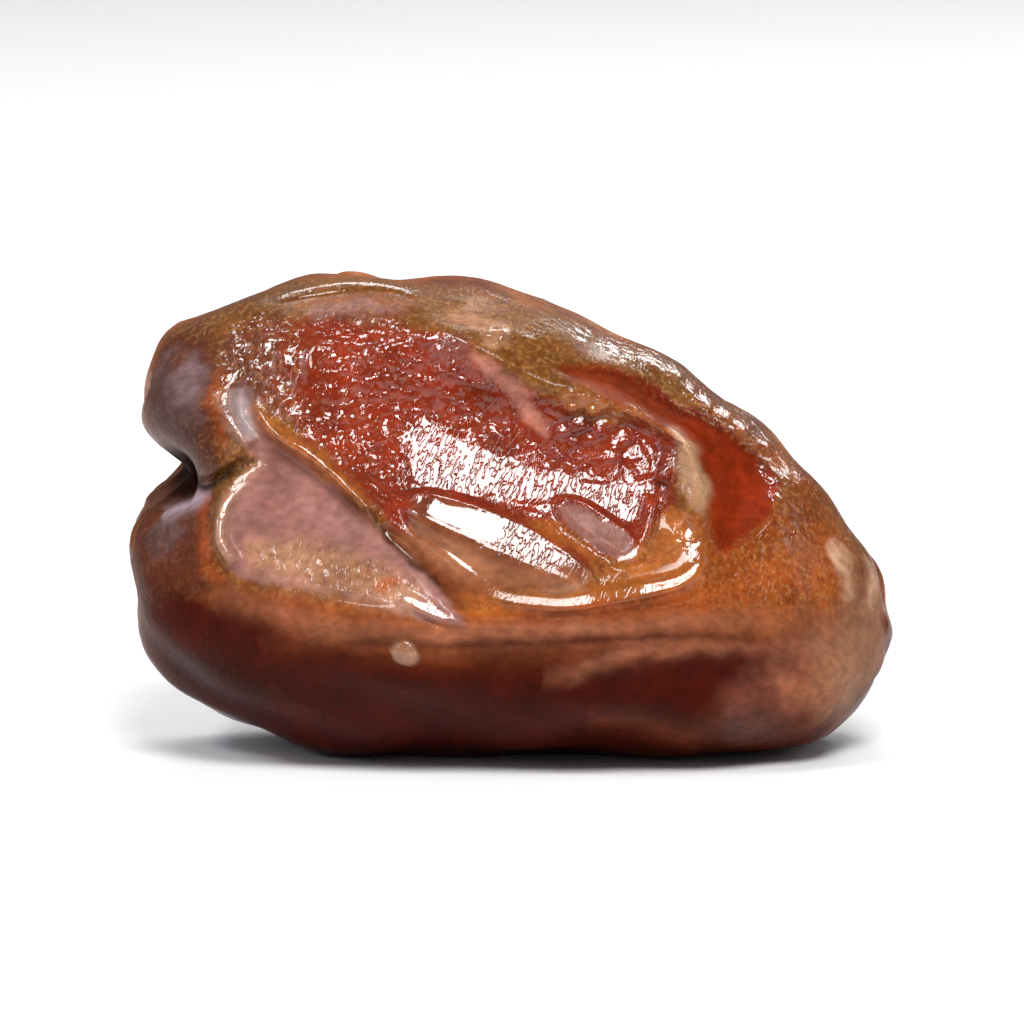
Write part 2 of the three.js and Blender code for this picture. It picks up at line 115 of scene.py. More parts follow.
POCKET = [[2.4, 20.3], [5.2, 20], [7.6, 19.1], [9.6, 18], [11.6, 16.8], [13.2, 15.6], [14.1, 14.3],
          [13.8, 12.9], [12.6, 11.5], [11.2, 11], [10.5, 11.8], [10.3, 13.4], [10.1, 15], [9.2, 16.6],
          [7, 18], [4.6, 18.9]]
TROUGH = [[1.5, 4.3], [4.5, 5], [8.5, 5.6], [12.5, 5.3], [15.4, 4.4], [14, 3.3], [9, 2.9], [4.5, 3.2]]
AMBER_RIDGE = [[-13.6, 18.4], [-12.4, 17], [-10.6, 15.8], [-9, 14.6], [-7.4, 12.9], [-6.6, 11.9]]
CREVICE = [[-7.2, 13], [-6.4, 12], [-5.3, 11], [-4.4, 9.9], [-3.4, 8.6]]
CRESCENT = [[7.9, 17.5], [8.9, 16.6], [9.6, 15.5], [9.9, 14.2], [9.9, 12.8]]
LONG_RIDGE = [[-15.6, 8.8], [-11, 7.4], [-6, 6.6], [-1, 6.5], [5, 6.7], [11, 7.1], [17, 7.2]]
UNDER_RIDGE = [[-9, 6.2], [-4, 5.9], [1, 6], [6, 6.3], [10, 6.4], [14, 6]]
OVER_RIDGE = [[-13, 8.2], [-7, 7.4], [-1, 7.3], [4, 7.45], [8, 7.9], [12.5, 8.5]]
LOW_RIDGE = [[1.8, 3.9], [4.2, 4.8], [8, 5.7], [12.5, 5.9], [16, 5.3]]
HEEL_RIDGE = [[4, 2.1], [7, 1.7], [10.6, 0.9]]
CLEFT_LINE = [[-19.6, 14.8], [-18.2, 14.7], [-16.8, 14.4], [-15.5, 14.4], [-14.4, 14.9], [-13.3, 15.5]]
FLAP_LIP = [[-12.8, 15.5], [-13.8, 14.6], [-14.6, 13.4], [-15, 12.2], [-14.9, 11.1], [-14.2, 10.1]]
FLAP_TAIL = [[-5.8, 8.5], [-5, 8.2], [-4.3, 7.85], [-3.5, 7.45], [-2.8, 7.2]]
TONGUE_LIP = [[-14.5, 19.9], [-14.9, 19], [-14.8, 18], [-14.2, 17], [-13.4, 16.2]]
TONGUE_GLINT = [[-15.1, 19.7], [-14.6, 19.9], [-14, 20.1]]
FOOT_LINE = [[-1.2, 8.75], [0.6, 8.3], [3, 8.1], [5, 8.45], [7, 8.8], [8.8, 9.25], [9.8, 10], [9.5, 10.9],
             [8.9, 12.2]]
WEDGE_LINE = [[-3.6, 11], [-2.8, 10.4], [-1.9, 9.8], [-1.2, 9.3]]
LENS_EDGE = [[5.4, 10.2], [6.3, 10.6], [6.9, 11.4], [7.2, 12.3], [7.4, 13.6]]
RIM_LINE = [[5, 21.7], [6.4, 21], [8.2, 20], [10.2, 18.8], [12.2, 17.5], [14.2, 16.1], [15.6, 14.4]]
TOP_LINE = [[-12, 23.75], [-10.6, 24.15], [-8.8, 24.45], [-6.8, 24.5], [-4.8, 24.15]]
WALL_STREAK = [[8.8, 16.4], [8.4, 15.6], [8, 14.8], [7.8, 14.2]]

# Each hollow is its outline, the depth and width of its wall, and how far its middle sags over what reach.
FRONT_HOLLOWS = [
    [POCKET, 0.8, 0.3, 0.6, 2],
    [TROUGH, 0.25, 0.6, 0.35, 1.4],
]
BACK_HOLLOWS = [
    [[[-13.5, 18.2], [-10.5, 20.9], [-5.5, 21.6], [0.5, 20.2], [5.5, 17.6], [8.6, 14.9], [6.4, 14],
     [1.6, 14.9], [-4.2, 15.4], [-9.6, 15.5], [-12.6, 16.1]], 0.8, 0.8, 1, 3],
    [[[-5.4, 12.2], [0.6, 12.2], [6.8, 11.4], [12.6, 9.8], [14.6, 7.6], [11.2, 5.6], [5.2, 5.2], [-1.2, 6.4],
     [-5, 8.8]], 0.6, 0.9, 0.9, 2.8],
    [[[-16.2, 12.6], [-13.2, 13.6], [-9.4, 12.8], [-7.6, 10.2], [-9, 7], [-12.6, 6.2], [-15.4, 8.6]], 0.5,
     0.6, 0.6, 2.2],
]
# Each fold is its path, height and width. A crease has a height below 0.
FRONT_FOLDS = [
    [AMBER_RIDGE, 0.5, 0.45],
    [CREVICE, -0.5, 0.35],
    [CRESCENT, 0.55, 0.42],
    [[[-4.8, 23], [-2.4, 21.8], [0.8, 20.3], [3.6, 19.2], [6.6, 18.1], [8.6, 17]], 0.15, 0.6],
    [LENS_EDGE, 0.3, 0.35],
    [[[5, 21.4], [7.5, 20.4], [10, 18.9], [12.4, 17.4], [14.6, 15.8], [15.4, 14]], 0.3, 0.8],
    [[[-12, 23.6], [-8.6, 24], [-4.6, 23.9]], -0.16, 0.4],
    [[[-9.1, 23.4], [-9.9, 22.2], [-10.4, 20.8], [-10.3, 19.3], [-10, 18]], 0.2, 0.3],
    [LONG_RIDGE, 0.2, 1],
    [[[-1.5, 7.9], [3, 7.4], [7, 7.8], [10.5, 8.8], [12, 10]], -0.3, 0.6],
    [[[-9, 6.1], [-4, 5.4], [1, 5.3], [6, 5.8], [11, 6.1]], -0.3, 0.6],
    [LOW_RIDGE, 0.2, 0.6],
    [UNDER_RIDGE, -0.14, 0.28],
    [OVER_RIDGE, -0.14, 0.3],
    [HEEL_RIDGE, 0.3, 0.7],
    [[[16.4, 11.2], [17.5, 9.6], [18.2, 7.8]], 0.3, 0.5],
    [[[16.2, 14.2], [17.2, 12.4], [18.8, 10.8]], -0.35, 0.6],
    [CLEFT_LINE, -1.1, 0.35],
    [FLAP_LIP, 0.28, 0.34],
    [TONGUE_LIP, 0.3, 0.32],
]
BACK_FOLDS = [
    [[[-15.5, 14.2], [-9, 14.4], [-2, 13.8], [5, 12.8], [11.5, 11.4], [17, 8.8]], 0.6, 1],
    [[[-12, 5], [-5, 4.2], [3, 3.8], [10, 4.2]], 0.4, 0.9],
    [[[-14.5, 21.6], [-8, 23.2], [-1, 22.4], [5, 20.2]], 0.35, 0.8],
    [[[-3, 20.6], [-1.4, 18.4], [-1.6, 16.2]], 0.35, 0.5],
    [[[4.2, 11.6], [6, 9.4], [5.6, 6.6]], 0.4, 0.55],
    [[[-17.6, 17.8], [-15.6, 15.2], [-16.2, 12.2]], -0.4, 0.6],
    [[[10.5, 15.6], [13.6, 13.6], [16.6, 11.6]], -0.4, 0.7],
]
TOP_FOLDS = [
    [[[-13, 1.6], [-6, 3.4], [1, 3], [7, 2], [13, 0.6]], 0.45, 0.9],
    [[[-12, 3.6], [-6, 5.2], [0, 5], [5, 3.6]], -0.4, 0.7],
    [[[-9, 2.4], [-7.4, 3.6], [-6.6, 5.6]], 0.35, 0.6],
    [[[2, 3.4], [5, 3.2], [9, 2.2]], -0.35, 0.7],
]
# Low pads of skin: two on the top, a bead below the flap, and the upper and lower lobe of the stem end. Each
# is an oval's middle, half length, half width and turn, and its height.
FRONT_PADS = [
    [[-1.3, 22.4], 1.4, 0.9, -20, 0.25],
    [[-7.4, 23.2], 2.8, 0.5, 2, 0.12],
    [[-5.4, 5.6], 0.8, 0.6, -10, 0.4],
    [[-17, 18.2], 3.2, 2.7, 60, 0.55],
    [[-17.4, 11], 3, 2.4, 60, 0.5],
]
# The swelling and the lens: steep along their upper edge, and rolling down to their lower one. Each is an
# oval's middle, half length, half width and turn, its height and its tilt.
FRONT_ROLLS = [
    [[-0.7, 11.1], 5.5, 1.85, -24, 1.25, 0.08],
    [[4.6, 11.8], 2.7, 1.15, -34, 0.6, 0.05],
]
ROLL_NARROWING = 2.5
ROLL_STEP = 0.72
ROLL_CREST = 0.8
ROLL_TILTED_FROM = -0.4
ROLL_END_POWER = 8

# Narrow strips of skin that face a light and so shine as a line. Each is its path, width and slopes, and
# whether it is straight. Slopes are how much the skin comes nearer towards the right and towards the top.
TOWARDS_KEY = (-0.11, -0.45)
TOWARDS_TOP = (0.085, -1.545)
TOWARDS_RIM = (-1.01, -1.76)
FRONT_STRIPS = [
    [FOOT_LINE, 0.42, TOWARDS_KEY, False],
    [FLAP_TAIL, 0.36, TOWARDS_KEY, True],
    [WEDGE_LINE, 0.24, TOWARDS_KEY, False],
    [LENS_EDGE, 0.3, TOWARDS_KEY, True],
    [WALL_STREAK, 0.32, TOWARDS_KEY, True],
    [FLAP_LIP, 0.34, TOWARDS_KEY, True],
    [TONGUE_LIP, 0.36, TOWARDS_KEY, True],
    [TONGUE_GLINT, 0.4, TOWARDS_KEY, False],
    [TOP_LINE, 0.22, TOWARDS_TOP, False],
]
STRIP_POWER = 6
STRIP_FADE_POWER = 0.3
STRIP_LEVEL = 75  # a strip lies above this percentage of the skin beside it
STRIP_LEVEL_REACH = 0.35
STRIP_LEVELS_AVERAGED = 5
STRAIGHT_LIFT = 0.08

# Small spots that face a light, each as its place and size.
KEY_GLINTS = [[-12.6, 21.3, 0.6], [-11.6, 20.8, 0.56], [-12, 19.2, 0.5], [-11.3, 18.1, 0.5],
              [-14.2, 21.3, 0.45], [-13.3, 20.5, 0.4], [-12.5, 18.6, 0.36], [-7.2, 16.3, 0.3],
              [-6.7, 21.2, 0.24], [-4.3, 21.9, 0.45], [-3.8, 21.1, 0.3], [3.3, 18.2, 0.4], [3.6, 17.5, 0.5],
              [2.8, 17.1, 0.34], [4.3, 16.7, 0.36], [4.3, 18.1, 0.36], [5.3, 15.7, 0.36], [4.9, 17.3, 0.55],
              [5.8, 16.6, 0.65], [6.5, 15.8, 0.6], [6.9, 15, 0.5], [-0.5, 21.9, 0.34], [13.8, 14.7, 0.36],
              [13.9, 13.7, 0.32]]
RIM_GLINTS = [[3.9, 22.2, 0.34], [5.3, 21.5, 0.36], [6.2, 21.1, 0.4], [7, 20.7, 0.44], [7.9, 20.2, 0.44],
              [8.8, 19.7, 0.46], [9.6, 19.2, 0.44], [10.5, 18.6, 0.4], [11.4, 18, 0.38], [12.4, 17.3, 0.34],
              [13.7, 16.4, 0.3]]
KEY_GLINT_SHAPE = {"lean": 0.3, "width": 1}
RIM_GLINT_SHAPE = {"lean": -0.6, "width": 0.8}
GLINT_LENGTH = 2.4
GLINT_WIDTH = 1.7
GLINT_TURN = 18
GLINT_FINISH = {"blur": 0.4, "wet": 1, "blister": 0.25, "hatch": 0.3, "grain": 0.05, "loose": 0.3}

# The basin is scooped out down to a floor of its own. The floor has a shelf that faces the light, is steeper
# above the shelf and lies flatter below it. Heights are towards the watcher.
FLOOR_MIDDLE = (1, 15.5)
FLOOR_HEIGHT = 7.4
SHELF_SLOPE = 0.396
FLOOR_ASIDE = 0.11
ABOVE_SHELF = 0.26
BELOW_SHELF = 0.27
LEFT_RISE = 0.2
LEFT_START = -5.2
SHELF_TOP = [[-15, 19.5], [-8, 17.9], [-4, 17.3], [0, 15.9], [3, 14.9], [5, 14.3], [5.7, 14.9], [6.2, 17],
             [9, 17.6]]
SHELF_FOOT = [[-15, 15], [-5, 13.7], [1, 12.9], [7, 12.2], [10, 12]]
SHELF_SOFTNESS = 0.35
SCOOP_SOFTNESS = 0.15
SCOOP_REACH = 1
WALL_WIDTH = 0.45
WALL_WIDENING = 1.3
WALL_WIDENS = (17, 20)

# The flap is a flat plate of skin that stands a little proud at its left.
FLAP_MIDDLE = (-8, 11)
FLAP_HEIGHT = 10.25
FLAP_SLOPE = 0.325
FLAP_ASIDE = -0.07
FLAP_EDGE = 0.35

# The crease between the two lobes at the stem end. Each point is x, y, height and strength.
CLEFT = [[-13.2, -9.5, 16.4, 0.15], [-15, -8.6, 15.7, 0.5], [-17, -7.2, 15.5, 0.9], [-19, -4.4, 15.3, 1],
         [-20.1, 0, 14.8, 1], [-19.4, 4.2, 14.8, 0.85], [-17.6, 7.6, 15.2, 0.45], [-15.4, 9.6, 15.8, 0.1]]
CLEFT_DEPTH = 3.2
CLEFT_WIDTH = 1.75
CLEFT_LEAST_WIDTH = 0.6
CLEFT_POWER = 1.8

STEM_SCAR = {"at": (-20.1, 0.6, 13.6), "radius": 1.7, "depth": 0.4}
TIP_POINT = {"at": (20.1, 0.8, 6), "radius": 0.7, "depth": -0.45}
SCAR_SOFTNESS = 0.35
SHORT_CREASE = 0.75
STEM_CREASES = {"count": 9, "inner": 2.4, "outer": 6.2, "swirl": 0.35, "height": -0.4, "width": 0.6}
TIP_CREASES = {"count": 7, "inner": 1.2, "outer": 4.6, "swirl": -0.5, "height": -0.22, "width": 0.5}

WAVES = [[0.35, 0.5, -0.3], [-0.28, 0.62, 0.41], [0.55, -0.33, 0.7], [0.8, 0.75, 0.1],
         [0.21, -1.05, 0.66], [-0.62, 0.4, 1.15]]
WAVE_HEIGHT = 0.09
WAVE_OFFSET = 1.7

# The fine mesh.
SQUARES_ACROSS = 128  # on each of the six faces of a cube that is blown up to a ball
FRONT_GATHER = 0.5  # 1 spreads them evenly, lower gathers them on the front
EDGE_SOFTNESS = 0.12
EDGE_REACH = 8  # how far a mark's edge is worked out, in softnesses
FOLD_REACH = 3.5  # the same for a fold, in widths
PATH_REACH = 3  # the same for other lines, in widths
PATH_STEPS = 6
FOLD_FADE_POWER = 0.6
PATCH_FADE_POWER = 0.4
DOME_POWER = 0.8

# Fine relief in millimetres. Each layer of noise is the size of its lumps, its share and its seed.
WRINKLE_HEIGHT = 0.34
WRINKLES = [((7, 2.2, 2.2), 0.6, 3), ((3.5, 1.1, 1.1), 0.4, 5)]
WRINKLE_MIDDLE = 0.5
WRINKLE_FADE = (-0.35, 0.1)
WRINKLES_LOST_IN_FRONT = 0.85
GRAIN_HEIGHT = 0.03
GRAIN = [(0.42, 1, 7), (0.25, 0.5, 8)]
BLISTER_HEIGHT = 0.09
BLISTERS = [(0.6, 1, 11)]
BLISTER_POWER = 0.8
NOISE_SHIFT = 17.31
NOISE_PRIMES = (73856093, 19349663, 83492791, 2654435761, 1274126177)

# Skin colours, as red, green and blue from 0 to 255.
# The darkest colour stands for painted shade and lavender for painted sheen; maroon is partly painted shade,
# and mauve and the pink satin colour are partly painted sheen.
COLOURS = {
    "olive": (101, 61, 21), "amber": (142, 76, 26), "orange": (152, 66, 18), "red": (118, 29, 3),
    "deep_red": (90, 20, 7), "rose": (134, 91, 84), "tan": (152, 108, 80), "cream": (184, 142, 106),
    "mauve": (80, 60, 59), "lavender_sheen": (156, 134, 142), "maroon": (58, 9, 3), "shade_dark": (24, 7, 4),
    "brown": (98, 44, 20), "grey_rose": (158, 142, 140), "rust": (120, 32, 3), "dusky": (74, 34, 19),
    "pink_tone_and_sheen": (128, 76, 53), "beige": (136, 94, 70), "gold": (176, 124, 70), "pink": (172, 110, 92),
    "bronze": (84, 52, 28), "copper": (122, 56, 11), "sienna": (144, 92, 62), "fawn": (176, 138, 110),
    "clay": (98, 53, 41),
}

# The skin under the patches. Each mottle is how far it drifts, its size, share and seed.
DRIFT_SIZE = 2.5
DRIFT_SEEDS = (41, 42, 43)
MOTTLES = [(1.4, (5, 3, 3), 0.6, 21), (1, (2, 1.2, 1.2), 0.4, 22)]
MOTTLE_FADE = (-0.3, 0.5)
# Towards the bottom the skin turns to maroon, partly its own colour and partly painted shade.
UNDERSIDE_FADE = (9, 3)
UNEVEN = [(1.3, 0.14, 23), (0.6, 0.12, 24)]
UNEVEN_POWERS = (1, 1.35, 1.5)  # where the skin is darker it is redder too
BASE_FINISH = {"wet": 0.35, "rough": 0.36, "grain": 0.25, "speck": 0.3, "blister": 0, "hatch": 0.2}
DRY_BELOW = (0.03, 0.3)
EDGE_WANDER = 0.25
WANDER = {"size": 1.1, "seeds": (31, 32)}
FINE_WANDER = {"size": 0.45, "seeds": (33, 34)}
FINE_WANDER_SHARE = 0.5
# Painted shade: from the first depth to the second, the skin in the cleft between the lobes is darkened.
CLEFT_SHADE = (1, 2.6)
CLEFT_ROUGHNESS = 0.6

# The material's fine patterns, with sizes in metres. A band is two values of the pattern, and the strengths
# that belong to them where these aren't 0 and 1.
CLOUDS = {"size": 0.0024, "detail": 4, "band": (0.3, 0.7, 0.82, 1.18)}
FINE_MOTTLES = {"size": (0.0006, 0.0004, 0.0004), "detail": 3, "band": (0.3, 0.7, 0.84, 1.16)}
LIGHT_SPECKS = {"size": 0.00026, "detail": 3, "band": (0.46, 0.74)}
DARK_SPECKS = {"size": 0.0004, "detail": 3, "band": (0.5, 0.3)}
HATCHING = {"size": (0.0002, 0.0006, 0.0006), "detail": 1, "lean": math.radians(26), "band": (0.38, 0.52)}
CLUSTERS = {"size": 0.0011, "detail": 1, "band": (0.38, 0.56, 0.35, 1.2)}
PORES = {"size": 0.0003, "detail": 2}
BUBBLES = {"size": 0.00056}
BUBBLE_POWER = 2
LIGHT_SPECK_SHARE = 0.5
DARK_SPECK_SHARE = 0.55
CLOUD_ROUGHNESS = 0.16
HATCH_DEPTH = 0.00005
BUBBLE_DEPTH = 0.0002
PORE_DEPTH = 0.000012
EVEN_SETTINGS = {"Coat Roughness": 0.05, "Specular IOR Level": 0.1, "Specular Tint": (1, 0.6, 0.42, 1),
                 "Subsurface Weight": 0.25, "Subsurface Radius": (1, 0.35, 0.12), "Subsurface Scale": 0.001}


def linear(name):
    """A named colour as linear light, by the usual curve."""
    share = np.array(COLOURS[name]) / 255
    return np.where(share <= 0.04045, share / 12.92, ((share + 0.055) / 1.055) ** 2.4)


def smoothstep(low, high, value):
    s = np.clip((value - low) / (high - low), 0, 1)
    return s * s * (3 - 2 * s)


def hermite(y0, y1, slope0, slope1, span, s):
    """A smooth value from y0 to y1 with those slopes."""
    s2 = s * s
    s3 = s2 * s
    return ((2 * s3 - 3 * s2 + 1) * y0 + (s3 - 2 * s2 + s) * span * slope0
            + (3 * s2 - 2 * s3) * y1 + (s3 - s2) * span * slope1)


def between(knots, share):
    """Values between knots, along a smooth curve through them."""
    table = np.array(knots, float)
    i = np.clip(np.searchsorted(table[:, 0], share, side="left") - 1, 0, len(table) - 2)
    x0, y0 = table[i].T
    x1, y1 = table[i + 1].T
    x_before, y_before = table[np.maximum(i - 1, 0)].T
    x_after, y_after = table[np.minimum(i + 2, len(table) - 1)].T
    s = np.clip((share - x0) / (x1 - x0), 0, 1)
    return hermite(y0, y1, (y1 - y_before) / (x1 - x_before), (y_after - y0) / (x_after - x0), x1 - x0, s)


def section_share(angle):
    shares = np.array(SECTION_SHARES)
    count = len(shares)
    place = (angle / (2 * math.pi) * count) % count
    i = np.floor(place).astype(int)
    before, at, after, beyond = (shares[(i + k) % count] for k in (-1, 0, 1, 2))
    return hermite(at, after, (after - before) / 2, (beyond - at) / 2, 1, place - i)


def body_points(directions):
    """The plain body's points in these directions from its middle."""
    share = np.clip(directions[:, 0], -1, 1)
    end = np.maximum(0, 1 - np.abs(share) ** END_POWER) ** END_ROUNDING
    ring = np.maximum(np.hypot(directions[:, 1], directions[:, 2]), 1e-9)
    across, up = directions[:, 1] / ring, directions[:, 2] / ring
    half_depth = np.maximum(between(HALF_DEPTH, share) * end, 1e-9)
    half_height = np.maximum(between(HALF_HEIGHT, share) * end, 1e-9)
    radius = section_share(np.arctan2(up, -across)) / np.hypot(across / half_depth, up / half_height)
    return np.stack([HALF_LENGTH * share, between(MIDDLE_DEPTH, share) + radius * across,
                     between(MIDDLE_HEIGHT, share) + radius * up], axis=1)


def smooth_line(points, closed):
    """Closely spaced points on a smooth line through a few."""
    points = np.array(points, float)
    count = len(points)
    last = count - 1
    line = []
    for i in range(count if closed else last):
        a, b, c, d = (points[j % count if closed else min(max(j, 0), last)] for j in range(i - 1, i + 3))
        line += [hermite(b, c, (c - a) / 2, (d - b) / 2, 1, k / PATH_STEPS) for k in range(PATH_STEPS)]
    line.append(line[0] if closed else points[-1])
    return np.array(line)


def nearest(points, line):
    """How far each point is from a line, and how far along it the nearest place is, from 0 to 1."""
    best = np.full(len(points), np.inf)
    along = np.zeros(len(points))
    for i in range(len(line) - 1):
        step = line[i + 1] - line[i]
        s = np.clip((points - line[i]) @ step / (step @ step), 0, 1)
        square = ((points - line[i] - s[:, None] * step) ** 2).sum(axis=1)
        closer = square < best
        best[closer] = square[closer]
        along[closer] = (i + s[closer]) / (len(line) - 1)
    return np.sqrt(best), along


def inside_by(points, line):
    """The distance to a closed line, positive inside it."""
    inside = np.zeros(len(points), bool)
    for a, b in zip(line[:-1], line[1:]):
        if a[1] == b[1]:
            continue
        crosses = (a[1] > points[:, 1]) != (b[1] > points[:, 1])
        inside ^= crosses & (points[:, 0] < (b[0] - a[0]) * (points[:, 1] - a[1]) / (b[1] - a[1]) + a[0])
    distance, _ = nearest(points, line)
    return np.where(inside, distance, -distance)


def close_to(points, line, reach):
    """Which points a mark with this line and reach can touch, after a zero for each point."""
    low, high = line.min(axis=0) - reach, line.max(axis=0) + reach
    return np.zeros(len(points)), np.flatnonzero(((points > low) & (points < high)).all(axis=1))


def soft_positive(value, softness):
    return softness * np.logaddexp(0, value / softness)


def faded(along, power):
    """1 over most of a line, down to 0 at its two ends."""
    return np.maximum(np.sin(math.pi * along), 0) ** power


def hollow_depth(points, outline, edge, wall, sag, reach):
    line = smooth_line(outline, True)
    depth, near = close_to(points, line, EDGE_REACH * EDGE_SOFTNESS)
    inside = inside_by(points[near], line)
    deep = np.maximum(inside, 0) / reach
    depth[near] = (edge * (1 - np.exp(-soft_positive(inside, EDGE_SOFTNESS) / wall))
                   + sag * (1 - np.exp(-deep * deep)))
    return depth


def fold_height(points, path, top, width):
    line = smooth_line(path, False)
    height, near = close_to(points, line, FOLD_REACH * width)
    distance, along = nearest(points[near], line)
    height[near] = top * faded(along, FOLD_FADE_POWER) * np.exp(-((distance / width) ** 2))
    return height


def oval_place(points, middle, long, wide, turn):
    """How far along and across an oval each point is, as shares of its half length and half width."""
    angle = math.radians(turn)
    dx, dy = points[:, 0] - middle[0], points[:, 1] - middle[1]
    return ((dx * math.cos(angle) + dy * math.sin(angle)) / long,
            (dy * math.cos(angle) - dx * math.sin(angle)) / wide)


def dome(points, *shape):
    """1 in the middle of an oval, 0 at its edge and negative outside it."""
    along, across = oval_place(points, *shape)
    return 1 - along**2 - across**2


def pad_height(points, *shape, height):
    return height * np.maximum(dome(points, *shape), 0) ** DOME_POWER


def roll_height(points, middle, long, wide, turn, height, tilt):
    along, across = oval_place(points, middle, long, wide, turn)
    across = across / np.sqrt(np.maximum(1 - np.abs(along) ** ROLL_NARROWING, 1e-4))
    rise = (ROLL_STEP * smoothstep(-1, 0, across) + (1 - ROLL_STEP) * np.clip(across / ROLL_CREST, 0, 1)
            - tilt * along * long * smoothstep(-1, ROLL_TILTED_FROM, across))
    return height * rise * (1 - smoothstep(ROLL_CREST, 1, across)) * np.maximum(1 - along**ROLL_END_POWER, 0)


def floor_height(points):
    """The height of the basin's own floor."""
    x, v = points.T
    top = np.interp(x, *np.array(SHELF_TOP).T)
    foot = np.interp(x, *np.array(SHELF_FOOT).T)
    return (FLOOR_HEIGHT - SHELF_SLOPE * (v - FLOOR_MIDDLE[1]) - FLOOR_ASIDE * (x - FLOOR_MIDDLE[0])
            + ABOVE_SHELF * soft_positive(v - top, SHELF_SOFTNESS)
            + BELOW_SHELF * soft_positive(foot - v, SHELF_SOFTNESS)
            + LEFT_RISE * soft_positive(LEFT_START - x, SHELF_SOFTNESS))


def flap_rise(points, heights):
    """What brings these heights to the flat plate of the flap."""
    line = smooth_line(FLAP, True)
    rise, near = close_to(points, line, FLAP_EDGE)
    x, v = points[near].T
    plate = FLAP_HEIGHT - FLAP_SLOPE * (v - FLAP_MIDDLE[1]) - FLAP_ASIDE * (x - FLAP_MIDDLE[0])
    share = smoothstep(-FLAP_EDGE / 2, FLAP_EDGE, inside_by(points[near], line))
    rise[near] = share * (plate - heights[near])
    return rise


def scoop_depth(points, heights):
    """How deep the basin is cut below these heights."""
    line = smooth_line(BASIN, True)
    depth, near = close_to(points, line, SCOOP_REACH)
    flat = points[near]
    wall = WALL_WIDTH + WALL_WIDENING * smoothstep(*WALL_WIDENS, flat[:, 1])
    share = 1 - np.exp(-soft_positive(inside_by(flat, line), EDGE_SOFTNESS) / wall)
    depth[near] = share * soft_positive(heights[near] - floor_height(flat), SCOOP_SOFTNESS)
    return depth


def strip_rise(points, heights, path, width, slopes, straight):
    """What turns a narrow strip of the skin to the light, without lifting its middle."""
    line = smooth_line(path, False)
    rise, near = close_to(points, line, PATH_REACH * width + STRIP_LEVEL_REACH)
    flat, own = points[near], heights[near]
    levels = []
    for at in line:
        beside = (((flat - at) ** 2).sum(axis=1) < STRIP_LEVEL_REACH**2) & (own > 0)
        levels.append(np.percentile(own[beside], STRIP_LEVEL))
    even = np.full(STRIP_LEVELS_AVERAGED, 1 / STRIP_LEVELS_AVERAGED)
    levels = np.convolve(np.pad(levels, STRIP_LEVELS_AVERAGED // 2, mode="edge"), even, mode="valid")
    if straight:
        slanted = line @ np.array(slopes)
        levels = slanted + (levels - slanted).mean() + STRAIGHT_LIFT
    distance, along = nearest(flat, line)
    places = np.arange(len(line))
    place = along * (len(line) - 1)
    aside, above = (flat[:, k] - np.interp(place, places, line[:, k]) for k in range(2))
    plane = np.interp(place, places, levels) + slopes[0] * aside + slopes[1] * above
    share = faded(along, STRIP_FADE_POWER) * np.exp(-((distance / width) ** STRIP_POWER))
    rise[near] = share * (plane - own)
    return rise


def glint_strips(spots, slopes, lean, width):
    """A very short straight strip for each spot."""
    return [[[[x - size, v - lean * size], [x, v], [x + size, v + lean * size]], width * size, slopes, True]
            for x, v, size in spots]


def cleft_depth(points):
    line = smooth_line(CLEFT, False)
    depth, near = close_to(points, line[:, :3], PATH_REACH * CLEFT_WIDTH)
    distance, along = nearest(points[near], line[:, :3])
    strength = np.interp(along * (len(line) - 1), np.arange(len(line)), line[:, 3])
    width = CLEFT_LEAST_WIDTH + (CLEFT_WIDTH - CLEFT_LEAST_WIDTH) * strength
    depth[near] = CLEFT_DEPTH * strength * np.exp(-((distance / width) ** CLEFT_POWER))
    return depth


def scar_depth(points, scar):
    distance = np.linalg.norm(points - np.array(scar["at"]), axis=1)
    return scar["depth"] / (1 + np.exp((distance - scar["radius"]) / SCAR_SOFTNESS))


def wave_height(points):
    waves = (np.sin(points @ np.array(wave) + WAVE_OFFSET * i) for i, wave in enumerate(WAVES))
    return WAVE_HEIGHT * sum(waves)


def radial_creases(scar, creases):
    """Creases that run out from a scar, laid out as [depth, height]."""
    _, y, z = scar["at"]
    folds = []
    for i in range(creases["count"]):
        angle = 2 * math.pi * i / creases["count"]
        reach = creases["outer"] * (SHORT_CREASE if i % 2 else 1)
        stops = [(creases["inner"], angle), ((creases["inner"] + reach) / 2, angle + creases["swirl"] / 2),
                 (reach, angle + creases["swirl"])]
        path = [[y + radius * math.cos(turn), z + radius * math.sin(turn)] for radius, turn in stops]
        folds.append([path, creases["height"], creases["width"]])
    return folds


def seen_along(across, up, sight, fade, rise=0):
    """A side that marks are laid out on: its two axes, the line of sight onto it and where marks fade out."""
    axes = {"across": across, "up": up, "sight": sight}
    return {**{name: np.array(axis, float) for name, axis in axes.items()}, "fade": fade, "rise": rise}


